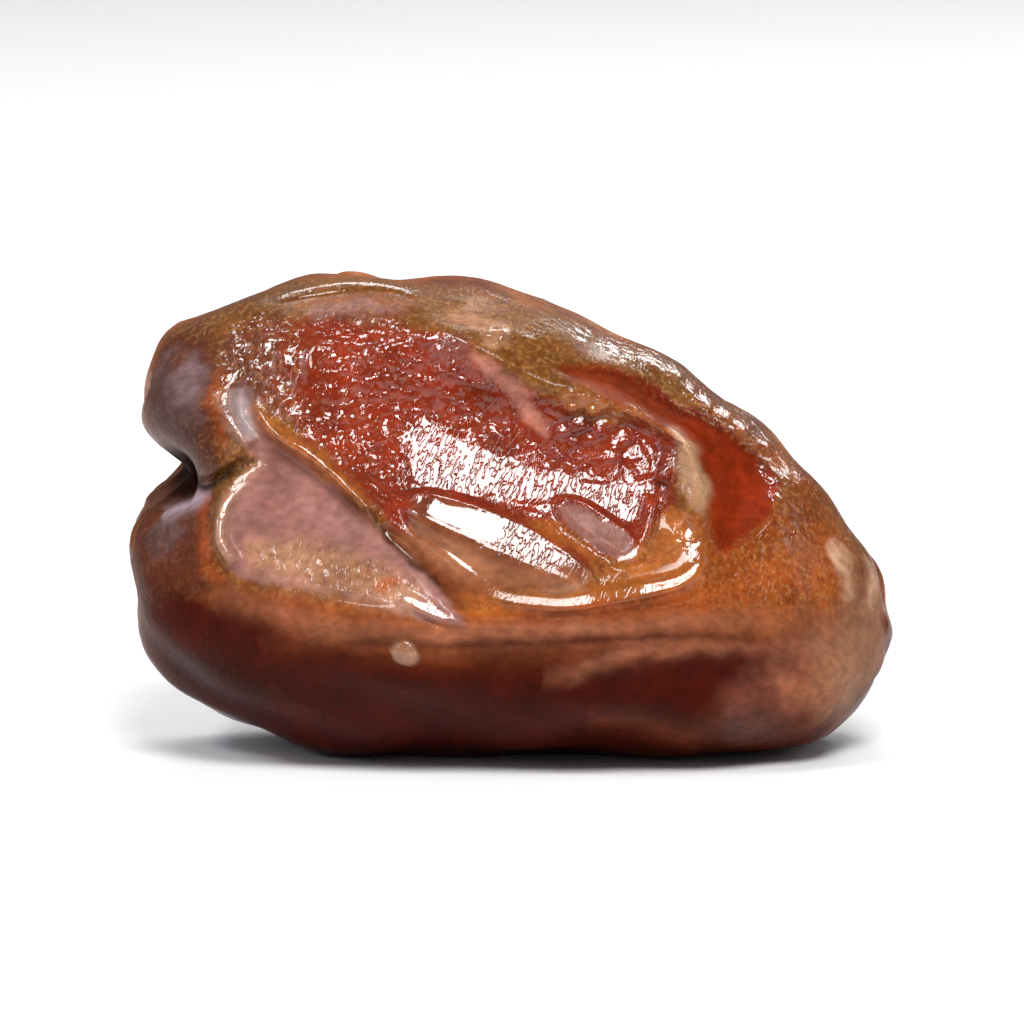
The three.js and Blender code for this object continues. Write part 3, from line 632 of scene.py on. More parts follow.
SLOPE = (math.sin(LOOK_DOWN), math.cos(LOOK_DOWN))
FRONT = seen_along((1, 0, 0), (0, *SLOPE), (0, -SLOPE[1], SLOPE[0]), FRONT_FADE, FRONT_RISE)
BACK = seen_along((1, 0, 0), (0, 0, 1), (0, 1, 0), FRONT_FADE)
TOP = seen_along((1, 0, 0), (0, 1, 0), (0, 0, 1), TOP_FADE)
STEM_END = seen_along((0, 1, 0), (0, 0, 1), (-1, 0, 0), END_FADE)
TIP = seen_along((0, 1, 0), (0, 0, 1), (1, 0, 0), END_FADE)
SIDES = [
    (FRONT, FRONT_HOLLOWS, FRONT_FOLDS, FRONT_PADS),
    (BACK, BACK_HOLLOWS, BACK_FOLDS, []),
    (TOP, [], TOP_FOLDS, []),
    (STEM_END, [], radial_creases(STEM_SCAR, STEM_CREASES), []),
    (TIP, [], radial_creases(TIP_POINT, TIP_CREASES), []),
]
FRONT_STRIPS += glint_strips(KEY_GLINTS, TOWARDS_KEY, **KEY_GLINT_SHAPE)
FRONT_STRIPS += glint_strips(RIM_GLINTS, TOWARDS_RIM, **RIM_GLINT_SHAPE)


def flat_picture(side, points, normals):
    """Where points are in a side's flat picture, and how much of a mark reaches each."""
    flat = np.stack([points @ side["across"], points @ side["up"] + side["rise"]], axis=1)
    return flat, smoothstep(*side["fade"], normals @ side["sight"])


def dried_points(points, normals):
    """Where the plain body's points end up, once the skin over them has dried."""
    raised = (wave_height(points) - cleft_depth(points) - scar_depth(points, STEM_SCAR)
              - scar_depth(points, TIP_POINT))
    waved = points + normals * raised[:, None]
    dried = waved.copy()
    for side, hollows, folds, pads in SIDES:
        flat, seen = flat_picture(side, points, normals)
        marks = (sum(fold_height(flat, *fold) for fold in folds)
                 + sum(pad_height(flat, *shape, height=height) for *shape, height in pads)
                 - sum(hollow_depth(flat, *hollow) for hollow in hollows))
        if side is FRONT:
            heights = waved @ side["sight"]
            marks += sum(roll_height(flat, *roll) for roll in FRONT_ROLLS)
            marks += flap_rise(flat, heights) - scoop_depth(flat, heights)
            for strip in FRONT_STRIPS:
                marks += strip_rise(flat, heights + marks, *strip)
        dried += side["sight"] * (seen * marks)[:, None]
    return dried


def ball():
    """Directions over a whole ball and the squares between them, as on a blown-up cube."""
    steps = np.tan(np.linspace(-1, 1, SQUARES_ACROSS + 1) * math.pi / 4)
    u, v = (grid.ravel() for grid in np.meshgrid(steps, steps))
    side = SQUARES_ACROSS + 1
    corner = (np.arange(SQUARES_ACROSS)[:, None] * side + np.arange(SQUARES_ACROSS)).ravel()
    square = np.stack([corner, corner + 1, corner + side + 1, corner + side], axis=1)
    points, squares = [], []
    for axis in range(3):
        for sign in (-1, 1):
            face = np.zeros((len(u), 3))
            face[:, axis] = sign
            face[:, (axis + 1) % 3] = u * sign
            face[:, (axis + 2) % 3] = v
            squares.append(square + len(points) * len(u))
            points.append(face / np.linalg.norm(face, axis=1)[:, None])
    points = np.concatenate(points)
    _, first, joined = np.unique(np.round(points, 6), axis=0, return_index=True, return_inverse=True)
    return points[first], joined.ravel()[np.concatenate(squares)]


def gather_to_front(directions):
    facing = -directions[:, 1]
    behind = FRONT_GATHER * (1 - facing)
    gathered = (1 + facing - behind) / (1 + facing + behind)
    shrink = np.sqrt(np.maximum(0, 1 - gathered**2) / np.maximum(1 - facing**2, 1e-12))
    return np.stack([directions[:, 0] * shrink, -gathered, directions[:, 2] * shrink], axis=1)


def vertex_normals(points, squares):
    a, b, c, d = (points[squares[:, k]] for k in range(4))
    across = np.cross(c - a, d - b)
    corners = squares.ravel()
    sums = [np.bincount(corners, np.repeat(across[:, k], 4), len(points)) for k in range(3)]
    total = np.stack(sums, axis=1)
    return total / np.maximum(np.linalg.norm(total, axis=1)[:, None], 1e-12)


def noise(points, size, seed):
    """Smooth noise from -1 to 1 with lumps of about this size in millimetres, by three axes or one number."""
    place = points / np.array(size, float) + seed * NOISE_SHIFT
    cell = np.floor(place).astype(np.int64)
    s = place - cell
    s = s * s * (3 - 2 * s)
    by_x, by_y, by_z, by_seed, by_all = NOISE_PRIMES
    total = np.zeros(len(points))
    for corner in np.ndindex(2, 2, 2):
        at = cell + corner
        mixed = (at[:, 0] * by_x) ^ (at[:, 1] * by_y) ^ (at[:, 2] * by_z) ^ (seed * by_seed)
        mixed = ((mixed ^ (mixed >> 13)) * by_all) & 0xFFFFFFFF
        mixed = (mixed ^ (mixed >> 16)) & 0xFFFF
        weight = np.prod(np.where(np.array(corner), s, 1 - s), axis=1)
        total += weight * (mixed / (0xFFFF / 2) - 1)
    return total


def ridged(points, size, seed):
    """Noise with sharp crests, from 0 to 1."""
    return (1 - np.abs(noise(points, size, seed))) ** 2


def layered(points, layers, kind=noise):
    return sum(kind(points, size, seed) * share for size, share, seed in layers)


def relief(points, finish):
    """The fine height of the skin over its main folds."""
    wrinkles = layered(points, WRINKLES, ridged) - WRINKLE_MIDDLE
    blisters = np.maximum(layered(points, BLISTERS), 0) ** BLISTER_POWER
    return (WRINKLE_HEIGHT * wrinkles * finish["loose"]
            + GRAIN_HEIGHT * layered(points, GRAIN) * finish["grain"]
            + BLISTER_HEIGHT * blisters * finish["blister"])


def area(outline, blur, colour=None, share=1, **finish):
    return {"outline": outline, "blur": blur, "colour": colour, "share": share, **finish}


def stroke(path, width, colour=None, share=1, **finish):
    return {"path": path, "width": width, "colour": colour, "share": share, **finish}


def oval(middle, long, wide, turn, colour=None, share=1, blur=1, **finish):
    shape = (middle, long, wide, turn)
    return {"shape": shape, "blur": blur, "colour": colour, "share": share, **finish}


# Patches of the front, each laid over the ones before it. An area fades over its blur, an oval over that
# share of its own size, and a stroke over its width. After the colour comes how much of the patch is laid
# on. Wet is a clear gloss, rough the dullness under it, grain and hatch the fine wrinkles, blister the small
# bubbles and speck the fine dots. Loose is how far the edge wanders.
FRONT_PATCHES = [
    # The olive and the maroon ground, with the long ridges between them.
    area([[-22, 28], [22, 28], [22, 8.8], [10, 8.3], [2, 7.9], [-4, 7.8], [-10, 8.2], [-15, 9.4],
        [-22, 10.7]], 0.8, "olive", wet=0.3, rough=0.34, grain=0.25, speck=0.9),
    # The maroon flank under the ridges is partly the skin's own colour and partly painted shade.
    area([[-22, 10.5], [-16.5, 9], [-13.5, 7.6], [-8, 6.2], [0, 5.7], [8, 6.2], [22, 6], [22, -4],
        [-22, -4]], 1, "maroon", wet=0, rough=0.42, grain=0.05, speck=0),
    area([[9, 12], [16.5, 12.4], [18, 9], [17.6, 7.8], [9, 7.8], [3, 7.4]], 1.2, "orange", 0.6, wet=0.2,
        rough=0.38, grain=0.2, speck=0.85),
    stroke([[-14, 8.4], [-8, 7.5], [-2, 7.5], [3, 7.6], [8, 8], [12.5, 8.6]], 0.6, "orange", 0.6, wet=0,
        speck=0.4),
    stroke([[-13, 6.4], [-4, 5.7], [2, 5.7], [8, 6.4], [13.5, 6.8]], 0.9, "brown", 0.75),
    stroke(LONG_RIDGE, 0.95, wet=0),
    # The pink along the ridges is partly their own colour and partly painted sheen.
    stroke(LONG_RIDGE, 0.75, "pink_tone_and_sheen", 0.95, rough=0.38, speck=0),
    stroke(LOW_RIDGE, 0.42, "pink_tone_and_sheen", 0.8, wet=0),
    # The dark line in the crease under the ridge is partly painted shade.
    stroke(UNDER_RIDGE, 0.2, "maroon", 0.6, loose=0.1),
    stroke(OVER_RIDGE, 0.22, "brown", 0.6, loose=0.1),
    stroke(OVER_RIDGE, 0.5, wet=0),
    stroke(HEEL_RIDGE, 0.7, "brown", 0.6),
    # The lower right and the tip.
    oval([12.4, 2], 3.6, 2, 0, "dusky", 0.8),
    # This grey-mauve patch is partly painted sheen.
    oval([12.6, 1.9], 2.2, 1.3, 0, "mauve", 0.4, loose=0.6),
    oval([13.8, 3.7], 3.8, 2.6, 25, "clay", 0.95, wet=0, loose=0.6),
    # The pink over the tip's lower side is partly painted sheen.
    oval([16.6, 5], 4.4, 3.4, 60, "pink_tone_and_sheen", 0.8, wet=0, rough=0.42, speck=0.1, loose=0.8),
    oval([18.7, 5.4], 5.2, 3.3, 72, "beige", 0.95, wet=0.05, rough=0.42, speck=0.1, loose=0.8),
    stroke([[16.7, 11.2], [17.5, 9.8], [18.1, 8]], 0.45, "fawn", 0.9, speck=0.2, loose=0.5),
    stroke([[17.6, 11.2], [18.4, 9.6], [18.7, 8]], 0.3, "brown", 0.8),
    stroke([[18.6, 10.6], [19, 9.2], [19.2, 7.6]], 0.3, "fawn", 0.7),
    # The upper edge and its gloss.
    stroke([[9.4, 19.2], [12.4, 17.4], [14.8, 15.6], [15.5, 13.6], [14.4, 11.6], [12, 10.2]], 1, "copper",
        wet=0.4, rough=0.3, speck=0.8),
    area([[-20, 22], [-16, 24.5], [-11, 25.5], [-10.5, 23.6], [-13, 23.2], [-15.4, 22], [-15.6, 20.4],
        [-19, 20.4]], 0.8, "bronze", 0.85),
    area([[-5, 24.2], [0, 24], [4, 22.6], [3.6, 20.6], [0.6, 20.6], [-3.4, 22.6]], 0.8, wet=0.1),
    stroke(RIM_LINE, 0.8, wet=1, blister=1.1, grain=0.6),
    stroke([[-2, 21.6], [0.4, 22], [2.4, 22.4], [4.4, 22.1]], 0.3, wet=0.5, blister=1.4),
    stroke([[15.4, 13.6], [14.8, 11.8], [13.4, 10.8]], 0.4, wet=0.9, blister=0.6),
    stroke([[-13.6, 23.2], [-9.6, 24.2], [-6.6, 24.5], [-3.2, 24]], 1.5, wet=0.05, grain=0.1, speck=0.6),
    stroke(TOP_LINE, 0.3, wet=1, loose=0.1),
    # The basin's red floor, its bubbles and the shelf that shines.
    area([[-10.7, 22.9], [-6.5, 22.6], [-3.6, 21.9], [-1.8, 20.8], [0.9, 19.2], [3.4, 18.4], [6.4, 17.8],
        [8.3, 16.9], [8.6, 15.2], [8.5, 13.3], [7.6, 11.4], [6.4, 10.4], [4.6, 9.4], [0, 9.2], [-3, 8.7],
        [-4.6, 10], [-6, 11.7], [-7.3, 13.2], [-9.3, 15.1], [-11, 16.6], [-10.9, 19.5]], 0.45, "red", wet=1,
        rough=0.5, grain=0.6, hatch=1, speck=0.3),
    area([[-10.6, 22.4], [-6, 22.4], [-3.6, 21.6], [-2.2, 20.2], [-0.6, 18.6], [0.2, 17.2], [-1.2, 16.8],
        [-3.5, 17.5], [-5.5, 17], [-6, 13.8], [-7.5, 13.6], [-10.2, 16.4], [-10.6, 19]], 0.7, blister=1.1,
        hatch=0.3),
    area([[-4.6, 21.4], [-2.6, 20.6], [-0.4, 18.8], [0.4, 17.4], [-2, 17.6], [-4.4, 19]], 0.7, blister=1.9),
    area([[2, 18.8], [5.8, 18.2], [5.8, 15], [3, 15.2], [0.8, 16.3], [1.6, 17.2]], 0.5, blister=2,
        hatch=0.3),
    area([[-5.2, 14.8], [-4.9, 16.3], [-3.5, 17.2], [-1.2, 16.4], [0.5, 15.9], [3, 14.8], [5.2, 14.7],
        [5.4, 16.2], [5.2, 17.6], [6.4, 17.4], [7.3, 15.4], [7.1, 13.8], [6.3, 12.5], [4.8, 12.9],
        [2.3, 13.4], [0.8, 12.9], [-1, 13.7], [-4.2, 13.9]], 0.4, grain=0.1, hatch=0.78, blister=0.05,
        loose=0.5),
    area([[-5, 14.6], [-4.7, 16.2], [-3.4, 16.9], [-1.4, 16.2], [-0.6, 14.6], [-1.4, 13.8], [-4.2, 14]], 0.4,
        grain=0.08, hatch=0.46, loose=0.6),
    stroke([[5.6, 17.6], [6.6, 16.8], [7.2, 15.6], [7.2, 14.4]], 0.7, hatch=0.9, blister=0.8, loose=0.4),
    # The basin's left, top and right sides.
    area([[-15.2, 19.6], [-14.4, 22.3], [-12, 22.9], [-10.9, 22.4], [-11, 19.5], [-10.6, 17.2],
        [-12.6, 18.2]], 0.5, "brown", 0.85, wet=1, rough=0.4, grain=0.4, blister=1.9, hatch=0),
    oval([-12.9, 20.6], 2.6, 1.7, 70, "dusky", 0.5, blur=0.8, speck=0.7, loose=0.6),
    stroke([[-10.8, 23.2], [-11.2, 20.6], [-11, 18.6], [-10, 16.6]], 1, "rust", 0.75, loose=0.7),
    stroke([[-10.2, 22.6], [-10.6, 20.4], [-10.4, 18.6], [-9.6, 17]], 0.5, "rust", grain=0.1, hatch=0,
        blister=0.1, wet=0.5),
    area([[2.6, 18.9], [5, 18.6], [7.8, 17.6], [8.6, 16.6], [6.8, 17.4], [3.6, 17.8]], 0.4, "amber", wet=0.9,
        grain=0.5, hatch=0.3, blister=2, speck=0.6),
    # Painted shade on the basin's right wall beside the crescent.
    stroke([[7.9, 17], [8, 15.4], [7.9, 14], [8.4, 12.8]], 0.5, "deep_red", 0.6, wet=0.2, hatch=0,
        grain=0.1),
    # The basin's foot.
    area([[6.2, 10.6], [7.2, 11.6], [8.2, 12.8], [9.6, 12.2], [10.2, 10.6], [9, 9], [5.2, 8.3], [1, 8.1],
        [-1.4, 8.9], [1, 8.7], [3.8, 8.8], [4.6, 9.6]], 0.4, "amber", wet=0.5, rough=0.3, grain=0.15,
        hatch=0, speck=0.7),
    stroke([[5.4, 9.6], [6.6, 9.75], [7.8, 9.95], [8.7, 10.3]], 0.45, wet=0, blister=0),
    oval([9.3, 11.4], 1.6, 0.7, 100, blur=0.8, wet=1, blister=0.9),
    area([[-6.4, 11.9], [-5.2, 11.8], [-3.6, 10.8], [-2.2, 9.9], [-1, 9], [-1.6, 8.2], [-3, 7.9],
        [-4.8, 9.8]], 0.3, "brown", wet=0.08, rough=0.4, grain=0.1, hatch=0, speck=0.2, blister=0),
    area([[1, 12.2], [2.4, 12.3], [4.2, 10.9], [6.2, 10.2], [5.4, 9.2], [4.4, 9.3], [3.9, 10.3],
        [2.6, 11.2]], 0.3, "amber", 0.85, wet=0.4, hatch=0.2, grain=0.2, speck=0.6, blister=0.1),
    stroke([[-2.6, 8.9], [-1.6, 8.2], [0.4, 7.7]], 0.6, "amber", 0.7),
    # The pink fold and the top.
    stroke([[-4.2, 21.4], [-3, 21], [-1.6, 20.4]], 0.5, "rose", 0.35, wet=0.5, hatch=0.2),
    area([[-1.9, 20.7], [-0.8, 20.4], [0.3, 19.5], [1.3, 18.4], [2, 17.3], [2, 16.7], [1.3, 17.1],
        [0.3, 18.2], [-0.6, 19.2], [-1.5, 20.1]], 0.28, "pink", 0.88, wet=0.35, rough=0.38, grain=0.1,
        hatch=0.5, blister=0),
    oval([-1.1, 22.5], 2.1, 1.4, -30, "tan", 0.75, wet=0.2, loose=0.8),
    stroke([[-10.6, 23.2], [-8, 23.4], [-5, 23.2]], 0.4, "rose", 0.9, wet=0.05),
    stroke([[-11.6, 23.7], [-8, 23.9], [-4.6, 23.7]], 0.2, "copper", 0.7, wet=0.05),
    # The two lobes of the stem end.
    area([[-20.5, 20.5], [-18.6, 22.2], [-15.6, 21.8], [-15.2, 19], [-14.9, 16.4], [-15.4, 14.8],
        [-20.5, 15]], 0.6, "dusky", wet=0.2, rough=0.4, grain=0.2, speck=0.4),
    # The upper lobe's mauve is partly its own tone and partly painted sheen, and the lavender over it is
    # painted sheen.
    oval([-17.2, 18.9], 3.3, 2.1, 70, "mauve", wet=0, loose=0.8, speck=0.2),
    oval([-17.1, 19.4], 2, 1.2, 60, "lavender_sheen", 0.1, loose=0.8),
    stroke([[-15.2, 20.4], [-15.3, 18.6], [-15, 17], [-14.6, 16]], 0.4, "orange", 0.5),
    area([[-21.5, 13.6], [-18, 14.2], [-15.6, 14.3], [-15.6, 9.8], [-15, 9], [-21.5, 7.5]], 0.5, "dusky",
        wet=0.12, rough=0.4, grain=0.1, speck=0.2),
    # The lower lobe's mauve is partly its own tone and partly painted sheen.
    oval([-17.9, 11.6], 1.9, 1.2, 60, "mauve", 0.8, loose=0.6, wet=0),
    # Painted shadow over the lower left, with a maroon below it that is partly painted shade.
    oval([-16.6, 5], 6.5, 3, -30, "shade_dark", 0.6, loose=0.6, wet=0, speck=0.1),
    oval([-17.5, 7.2], 4, 2.2, -25, "maroon", 0.9, loose=0.6, wet=0),
    # Painted sheen along the lower lobe's top edge.
    stroke([[-18.7, 12.7], [-17.6, 13.5], [-15.8, 14.1]], 0.7, "lavender_sheen", wet=0.3),
    stroke([[-15.9, 14], [-16, 12.2], [-15.7, 10.4], [-14.8, 9.2]], 0.35, "orange", 0.6, wet=0.2),
    # The flap, the ridge beside it and the edges that shine.
    area(FLAP, 0.2, "rose", wet=0.1, rough=0.44, grain=0.12, speck=0.1, blister=0, hatch=0),
    area([[-13.4, 11], [-11.5, 11.2], [-8.4, 10.9], [-6.4, 10], [-4.6, 8.4], [-5.6, 7.9], [-10.2, 8.9],
        [-12.8, 9.8]], 0.8, "tan", 0.9, wet=0.5, grain=1.1, hatch=0.2, speck=0.8),
    stroke([[-14.2, 19.4], [-14.2, 18.4], [-13.8, 17.4], [-13.3, 16.6]], 0.6, "grey_rose", wet=0.12, speck=0,
        blister=0),
    oval([-6.4, 9], 0.9, 0.5, 10, "orange", 0.8),
    stroke(AMBER_RIDGE, 0.5, "amber", wet=1, rough=0.25, grain=0.1, blister=0.2, hatch=0),
    # Painted shade along the crevice beside the flap.
    stroke([[-8.8, 14], [-7.2, 12.6], [-6, 11.4], [-4.4, 9.7], [-3.2, 8.4]], 0.26, "shade_dark", 0.75, wet=0.1),
    stroke(FOOT_LINE, 0.5, wet=1, rough=0.3, grain=0.1, hatch=0.1, speck=0, blister=0, loose=0),
    # The lip's pale colour is partly painted highlight.
    stroke(FLAP_LIP, 0.4, "cream", 0.4, loose=0),
    stroke(FLAP_LIP, 0.36, wet=0.85, rough=0.25, grain=0.1, hatch=0.3, loose=0),
    stroke(TONGUE_LIP, 0.4, wet=1, rough=0.25, grain=0.1, hatch=0.3, blister=0, loose=0),
    stroke(TONGUE_GLINT, 0.45, wet=1, grain=0.1, hatch=0.2, blister=0, loose=0),
    stroke(FLAP_TAIL, 0.46, wet=1, rough=0.25, grain=0.1, hatch=0.15, loose=0),
    stroke([[-6.9, 12.2], [-6.1, 11.3], [-5.2, 10.3]], 0.16, wet=0.7, loose=0),
    # Painted shade along the crease between the two lobes.
    stroke(CLEFT_LINE, 0.32, "shade_dark", 0.9, wet=0.1),
    # The pocket and the crescent beside it.
    area(POCKET, 0.3, "rust", wet=0, rough=0.42, grain=0, speck=0.05, blister=0),
    stroke([[2.6, 20.2], [5, 19.5], [7.4, 18.6], [9.4, 17.4]], 0.55, "brown", 0.7),
    # Painted shade along the pocket's top edge, under the rim.
    stroke([[4, 20], [7, 19.3], [9.5, 18.1], [12.3, 16.5], [14, 14.6]], 0.28, "deep_red"),
    oval([13.85, 14.3], 0.9, 0.35, 105, blur=0.6, wet=1, blister=1.5),
    area([[8.4, 17.1], [9.1, 16.7], [9.8, 15.8], [10.2, 14.6], [10.2, 13.2], [9.8, 12.7], [9.5, 13.3],
        [9.1, 14.2], [8.7, 15], [8.5, 16]], 0.3, "fawn", 0.62, wet=0.25, rough=0.3, grain=0.1, speck=0.5,
        hatch=0, blister=0, loose=0.4),
    stroke([[8.4, 16.9], [8.9, 16.2], [9.3, 15.3], [9.6, 14.4]], 0.3, "cream", 0.5, loose=0.4),
    stroke(WALL_STREAK, 0.32, wet=1, loose=0),
    # The swelling, the lens and the bead.
    oval([-0.7, 11.05], 5.3, 1.75, -24, "brown", 0.9, blur=0.25, wet=1, grain=0.08, hatch=0.52, rough=0.3,
        blister=0, speck=0.2),
    oval([-3, 12.3], 3.4, 1.5, -14, blur=0.5, hatch=0.02, grain=0.02),
    stroke([[-5.4, 12], [-3.6, 10.9], [-1.2, 9.9], [1.2, 9.3], [3.8, 9]], 0.8, "sienna", 0.95, wet=0.1,
        grain=0.1, hatch=0.2),
    stroke([[1.6, 8.85], [3.4, 8.8], [4.1, 9.3], [3.9, 9.9]], 0.18, "tan", 0.8),
    oval([4.6, 11.8], 2.6, 1, -34, "rose", 0.95, blur=0.3, wet=0.1, grain=0.05, hatch=0.1, rough=0.34,
        blister=0),
    stroke(WEDGE_LINE, 0.2, wet=1, hatch=0, loose=0),
    stroke(LENS_EDGE, 0.25, wet=1, hatch=0, blister=0, loose=0),
    oval([-5.4, 5.6], 0.8, 0.6, -10, "tan", 0.9, wet=1, blur=0.5),
]
FRONT_PATCHES += [oval([x, v], GLINT_LENGTH * size, GLINT_WIDTH * size, GLINT_TURN, **GLINT_FINISH)
                  for x, v, size in KEY_GLINTS + RIM_GLINTS]


def patch_mask(points, patch):
    """How much of a patch lies at each point, from 0 to 1."""
    if "outline" in patch:
        line = smooth_line(patch["outline"], True)
        mask, near = close_to(points, line, patch["blur"])
        mask[near] = smoothstep(-patch["blur"], patch["blur"], inside_by(points[near], line))
    elif "path" in patch:
        line = smooth_line(patch["path"], False)
        mask, near = close_to(points, line, PATH_REACH * patch["width"])
        distance, along = nearest(points[near], line)
        mask[near] = np.exp(-((distance / patch["width"]) ** 2)) * faded(along, PATCH_FADE_POWER)
    else:
        mask = smoothstep(0, patch["blur"], dome(points, *patch["shape"]))
    return mask


def blended(under, over, share):
    return under * (1 - share[:, None]) + linear(over) * share[:, None]


def wander(points, size, seeds):
    return np.column_stack([noise(points, size, seed) for seed in seeds])


def paint(points, normals):
    """The skin's colour and finish at each point of the plain body."""
    drift = wander(points, DRIFT_SIZE, DRIFT_SEEDS)
    mottle = sum(noise(points + far * drift, size, seed) * share for far, size, share, seed in MOTTLES)
    colour = blended(linear("brown"), "amber", smoothstep(*MOTTLE_FADE, mottle))
    # Darker maroon towards the bottom: partly the skin's own colour, partly painted shade.
    colour = blended(colour, "maroon", smoothstep(*UNDERSIDE_FADE, points[:, 2]))
    finish = {key: np.full(len(points), value, float) for key, value in BASE_FINISH.items()}
    flat, seen = flat_picture(FRONT, points, normals)
    shift = wander(points, **WANDER) + FINE_WANDER_SHARE * wander(points, **FINE_WANDER)
    for patch in FRONT_PATCHES:
        places = flat + patch.get("loose", EDGE_WANDER) * shift
        mask = patch_mask(places, patch) * seen * patch["share"]
        if patch["colour"]:
            colour = blended(colour, patch["colour"], mask)
        for key, value in finish.items():
            if key in patch:
                finish[key] = value * (1 - mask) + patch[key] * mask
    colour = colour * (1 + layered(points, UNEVEN))[:, None] ** np.array(UNEVEN_POWERS)
    # Painted shade: the colour is darkened deep in the cleft between the lobes, where the skin is also made
    # less glossy and less specked.
    shade = smoothstep(*CLEFT_SHADE, cleft_depth(points))
    colour = blended(colour, "shade_dark", shade)
    finish["wet"] = finish["wet"] * (1 - shade) * smoothstep(*DRY_BELOW, finish["wet"])
    finish["speck"] = finish["speck"] * (1 - shade)
    finish["rough"] = finish["rough"] + (CLEFT_ROUGHNESS - finish["rough"]) * shade
    finish["loose"] = 1 - WRINKLES_LOST_IN_FRONT * smoothstep(*WRINKLE_FADE, normals @ FRONT["sight"])
    return colour, finish


def fit_to_box(points, low, high):
    """Moves and stretches points a little so that they fill a box."""
    own_low, own_high = points.min(axis=0), points.max(axis=0)
    return low + (points - own_low) * (high - low) / (own_high - own_low)


def skin_material():
    material = bpy.data.materials.new(SLOT)
    material.use_nodes = True
    nodes, links = material.node_tree.nodes, material.node_tree.links
    nodes.clear()

    def node(kind, **settings):
        made = nodes.new(kind)
        for key, value in settings.items():
            setattr(made, key, value)
        return made

    def put(socket, value):
        if isinstance(value, (int, float, tuple)):
            socket.default_value = value
        else:
            links.new(value, socket)

    def painted(name):
        return node("ShaderNodeAttribute", attribute_name=name, attribute_type="GEOMETRY").outputs

    def maths(operation, *values):
        made = node("ShaderNodeMath", operation=operation)
        for socket, value in zip(made.inputs, values):
            put(socket, value)
        return made.outputs[0]

    def band(value, low, high, bottom=0, top=1):
        made = node("ShaderNodeMapRange", interpolation_type="SMOOTHSTEP")
        names = ("Value", "From Min", "From Max", "To Min", "To Max")
        for name, given in zip(names, (value, low, high, bottom, top)):
            put(made.inputs[name], given)
        return made.outputs[0]

    def pattern(kind, settings):
        mapping = node("ShaderNodeMapping", vector_type="TEXTURE")
        mapping.inputs["Scale"].default_value = tuple(np.ones(3) * settings["size"])
        mapping.inputs["Rotation"].default_value = (0, settings.get("lean", 0), 0)
        links.new(coordinates.outputs["Object"], mapping.inputs["Vector"])
        made = node(kind)
        made.inputs["Scale"].default_value = 1
        links.new(mapping.outputs[0], made.inputs["Vector"])
        return made

    def texture(settings):
        made = pattern("ShaderNodeTexNoise", settings)
        made.inputs["Detail"].default_value = settings["detail"]
        return made.outputs["Fac"]

    def banded(settings):
        return band(texture(settings), *settings["band"])

    def mix(factor, first, second, blend="MIX"):
        made = node("ShaderNodeMix", data_type="RGBA", blend_type=blend)
        for name, value in (("Factor", factor), ("A", first), ("B", second)):
            put(next(s for s in made.inputs if s.name == name and s.enabled), value)
        return next(s for s in made.outputs if s.enabled)

    def bump(height, distance, under=None, **settings):
        made = node("ShaderNodeBump", **settings)
        made.inputs["Distance"].default_value = distance
        links.new(height, made.inputs["Height"])
        if under:
            links.new(under, made.inputs["Normal"])
        return made.outputs[0]

    coordinates = node("ShaderNodeTexCoord")
    output = node("ShaderNodeOutputMaterial")
    shader = node("ShaderNodeBsdfPrincipled")
    links.new(shader.outputs[0], output.inputs["Surface"])

    cloudy = texture(CLOUDS)
    colour = mix(1, painted("skin_colour")["Color"], band(cloudy, *CLOUDS["band"]), "MULTIPLY")
    colour = mix(1, colour, banded(FINE_MOTTLES), "MULTIPLY")
    speck = painted("speck")["Fac"]
    light_dots = maths("MULTIPLY", banded(LIGHT_SPECKS), maths("MULTIPLY", speck, LIGHT_SPECK_SHARE))
    dark_dots = maths("MULTIPLY", banded(DARK_SPECKS), maths("MULTIPLY", speck, DARK_SPECK_SHARE))
    colour = mix(light_dots, colour, (*linear("gold"), 1))
    colour = mix(dark_dots, colour, (*linear("deep_red"), 1))
    hatching = maths("MULTIPLY", banded(HATCHING), painted("hatch")["Fac"])
    cells = pattern("ShaderNodeTexVoronoi", BUBBLES).outputs["Distance"]
    bubbles = maths("MULTIPLY", maths("POWER", cells, BUBBLE_POWER), painted("blister")["Fac"])
    bubbles = maths("MULTIPLY", bubbles, banded(CLUSTERS))
    wrinkled = bump(hatching, HATCH_DEPTH)

    varied = {
        "Base Color": colour,
        "Roughness": maths("MULTIPLY_ADD", cloudy, CLOUD_ROUGHNESS, painted("rough")["Fac"]),
        "Coat Weight": painted("wet")["Fac"],
        "Normal": bump(texture(PORES), PORE_DEPTH, wrinkled),
        "Coat Normal": bump(bubbles, BUBBLE_DEPTH, wrinkled, invert=True),
    }
    for name, value in {**varied, **EVEN_SETTINGS}.items():
        put(shader.inputs[name], value)
    return material


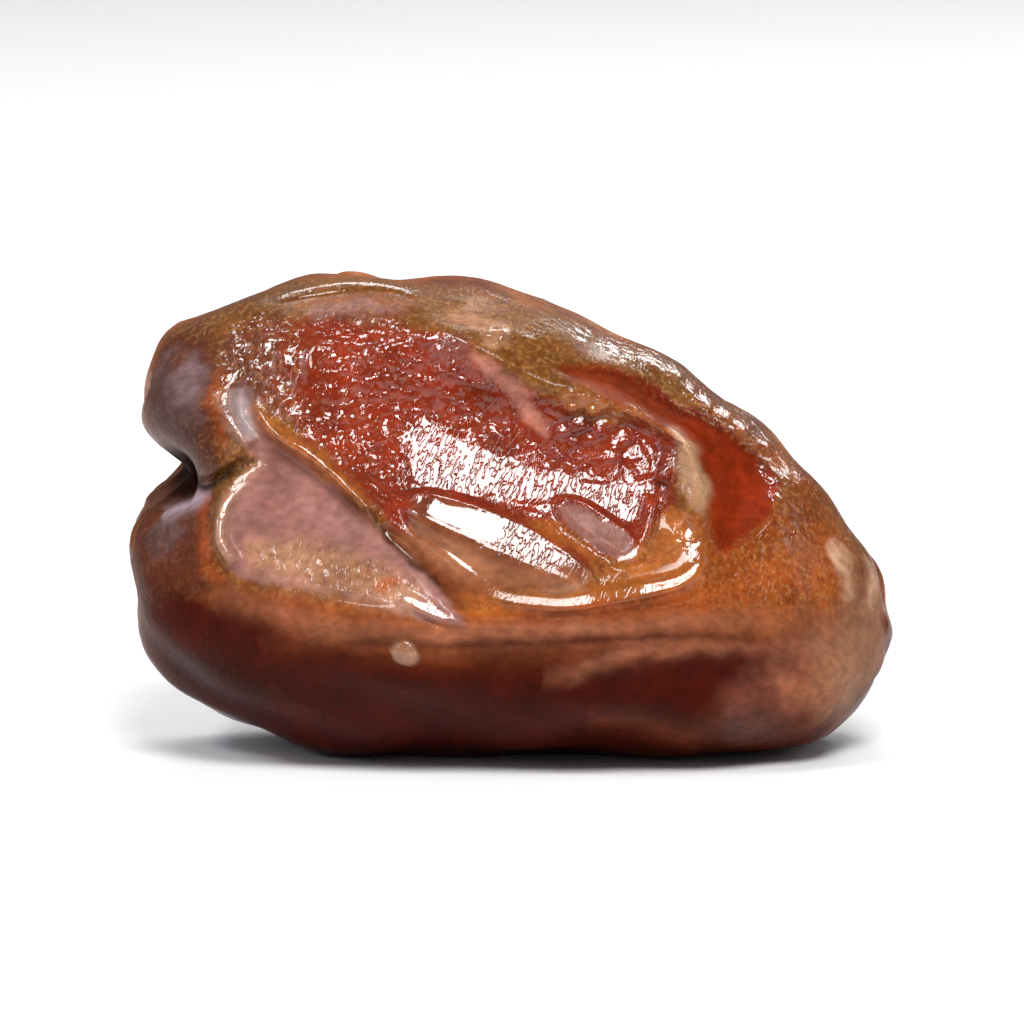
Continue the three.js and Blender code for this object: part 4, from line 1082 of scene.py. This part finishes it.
def make_fruit():
    """The skin as one fine closed mesh in the place of its plain solid."""
    directions, squares = ball()
    plain = body_points(gather_to_front(directions))
    normals = vertex_normals(plain, squares)
    colour, finish = paint(plain, normals)
    dried = dried_points(plain, normals)
    dried += vertex_normals(dried, squares) * relief(plain, finish)[:, None]
    dried[:, 2] = np.maximum(dried[:, 2], 0)
    low, high = (np.array(corner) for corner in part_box(NODE))
    places = fit_to_box(dried, low, high)

    mesh = bpy.data.meshes.new(PIECE)
    mesh.from_pydata(places.tolist(), [], squares.tolist())
    mesh.polygons.foreach_set("use_smooth", np.ones(len(squares), bool))
    opaque = np.column_stack([colour, np.ones(len(colour))]).ravel().astype(np.float32)
    mesh.attributes.new("skin_colour", "FLOAT_COLOR", "POINT").data.foreach_set("color", opaque)
    for name in ("wet", "rough", "hatch", "speck", "blister"):
        values = finish[name].astype(np.float32)
        mesh.attributes.new(name, "FLOAT", "POINT").data.foreach_set("value", values)
    mesh.materials.append(skin_material())
    mesh.update()
    fruit = bpy.data.objects.new(PIECE, mesh)
    bpy.context.scene.collection.objects.link(fruit)
    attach(fruit, "root")
    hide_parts(NODE)


def make_floor():
    bpy.ops.mesh.primitive_circle_add(vertices=FLOOR_CORNERS, radius=FLOOR_RADIUS, fill_type="NGON",
                                      location=(0, 0, -FLOOR_DROP))
    floor = bpy.context.object
    floor.name = "floor"
    material = bpy.data.materials.new("floor")
    material.use_nodes = True
    shader = material.node_tree.nodes["Principled BSDF"]
    shader.inputs["Base Color"].default_value = FLOOR_COLOUR
    shader.inputs["Roughness"].default_value = FLOOR_ROUGHNESS
    floor.data.materials.append(material)


def aim(thing, target):
    thing.rotation_mode = "QUATERNION"
    thing.rotation_quaternion = (Vector(target) - thing.location).to_track_quat("-Z", "Y")


def make_lights(middle):
    world = bpy.data.worlds.new("studio")
    world.use_nodes = True
    background = world.node_tree.nodes["Background"]
    background.inputs["Color"].default_value = SKY_COLOUR
    background.inputs["Strength"].default_value = SKY_STRENGTH
    bpy.context.scene.world = world
    for name, place, size, power, colour in LIGHTS:
        data = bpy.data.lights.new(name, "AREA")
        data.shape = "RECTANGLE"
        data.size, data.size_y = size
        data.energy = power
        data.color = colour
        light = bpy.data.objects.new(name, data)
        light.location = place
        bpy.context.scene.collection.objects.link(light)
        aim(light, middle)


def make_camera(middle):
    data = bpy.data.cameras.new("camera")
    data.lens = LENS_LENGTH
    data.clip_end = FARTHEST_VIEW
    camera = bpy.data.objects.new("camera", data)
    camera.location = middle + Vector(FRONT["sight"]) * WATCHER_DISTANCE
    bpy.context.scene.collection.objects.link(camera)
    aim(camera, middle)
    bpy.context.scene.camera = camera


middle = (Vector(cad_bounds[0]) + Vector(cad_bounds[1])) / 2
make_camera(middle)
make_lights(middle)
make_floor()
make_fruit()
bpy.context.scene.view_settings.view_transform = "Standard"
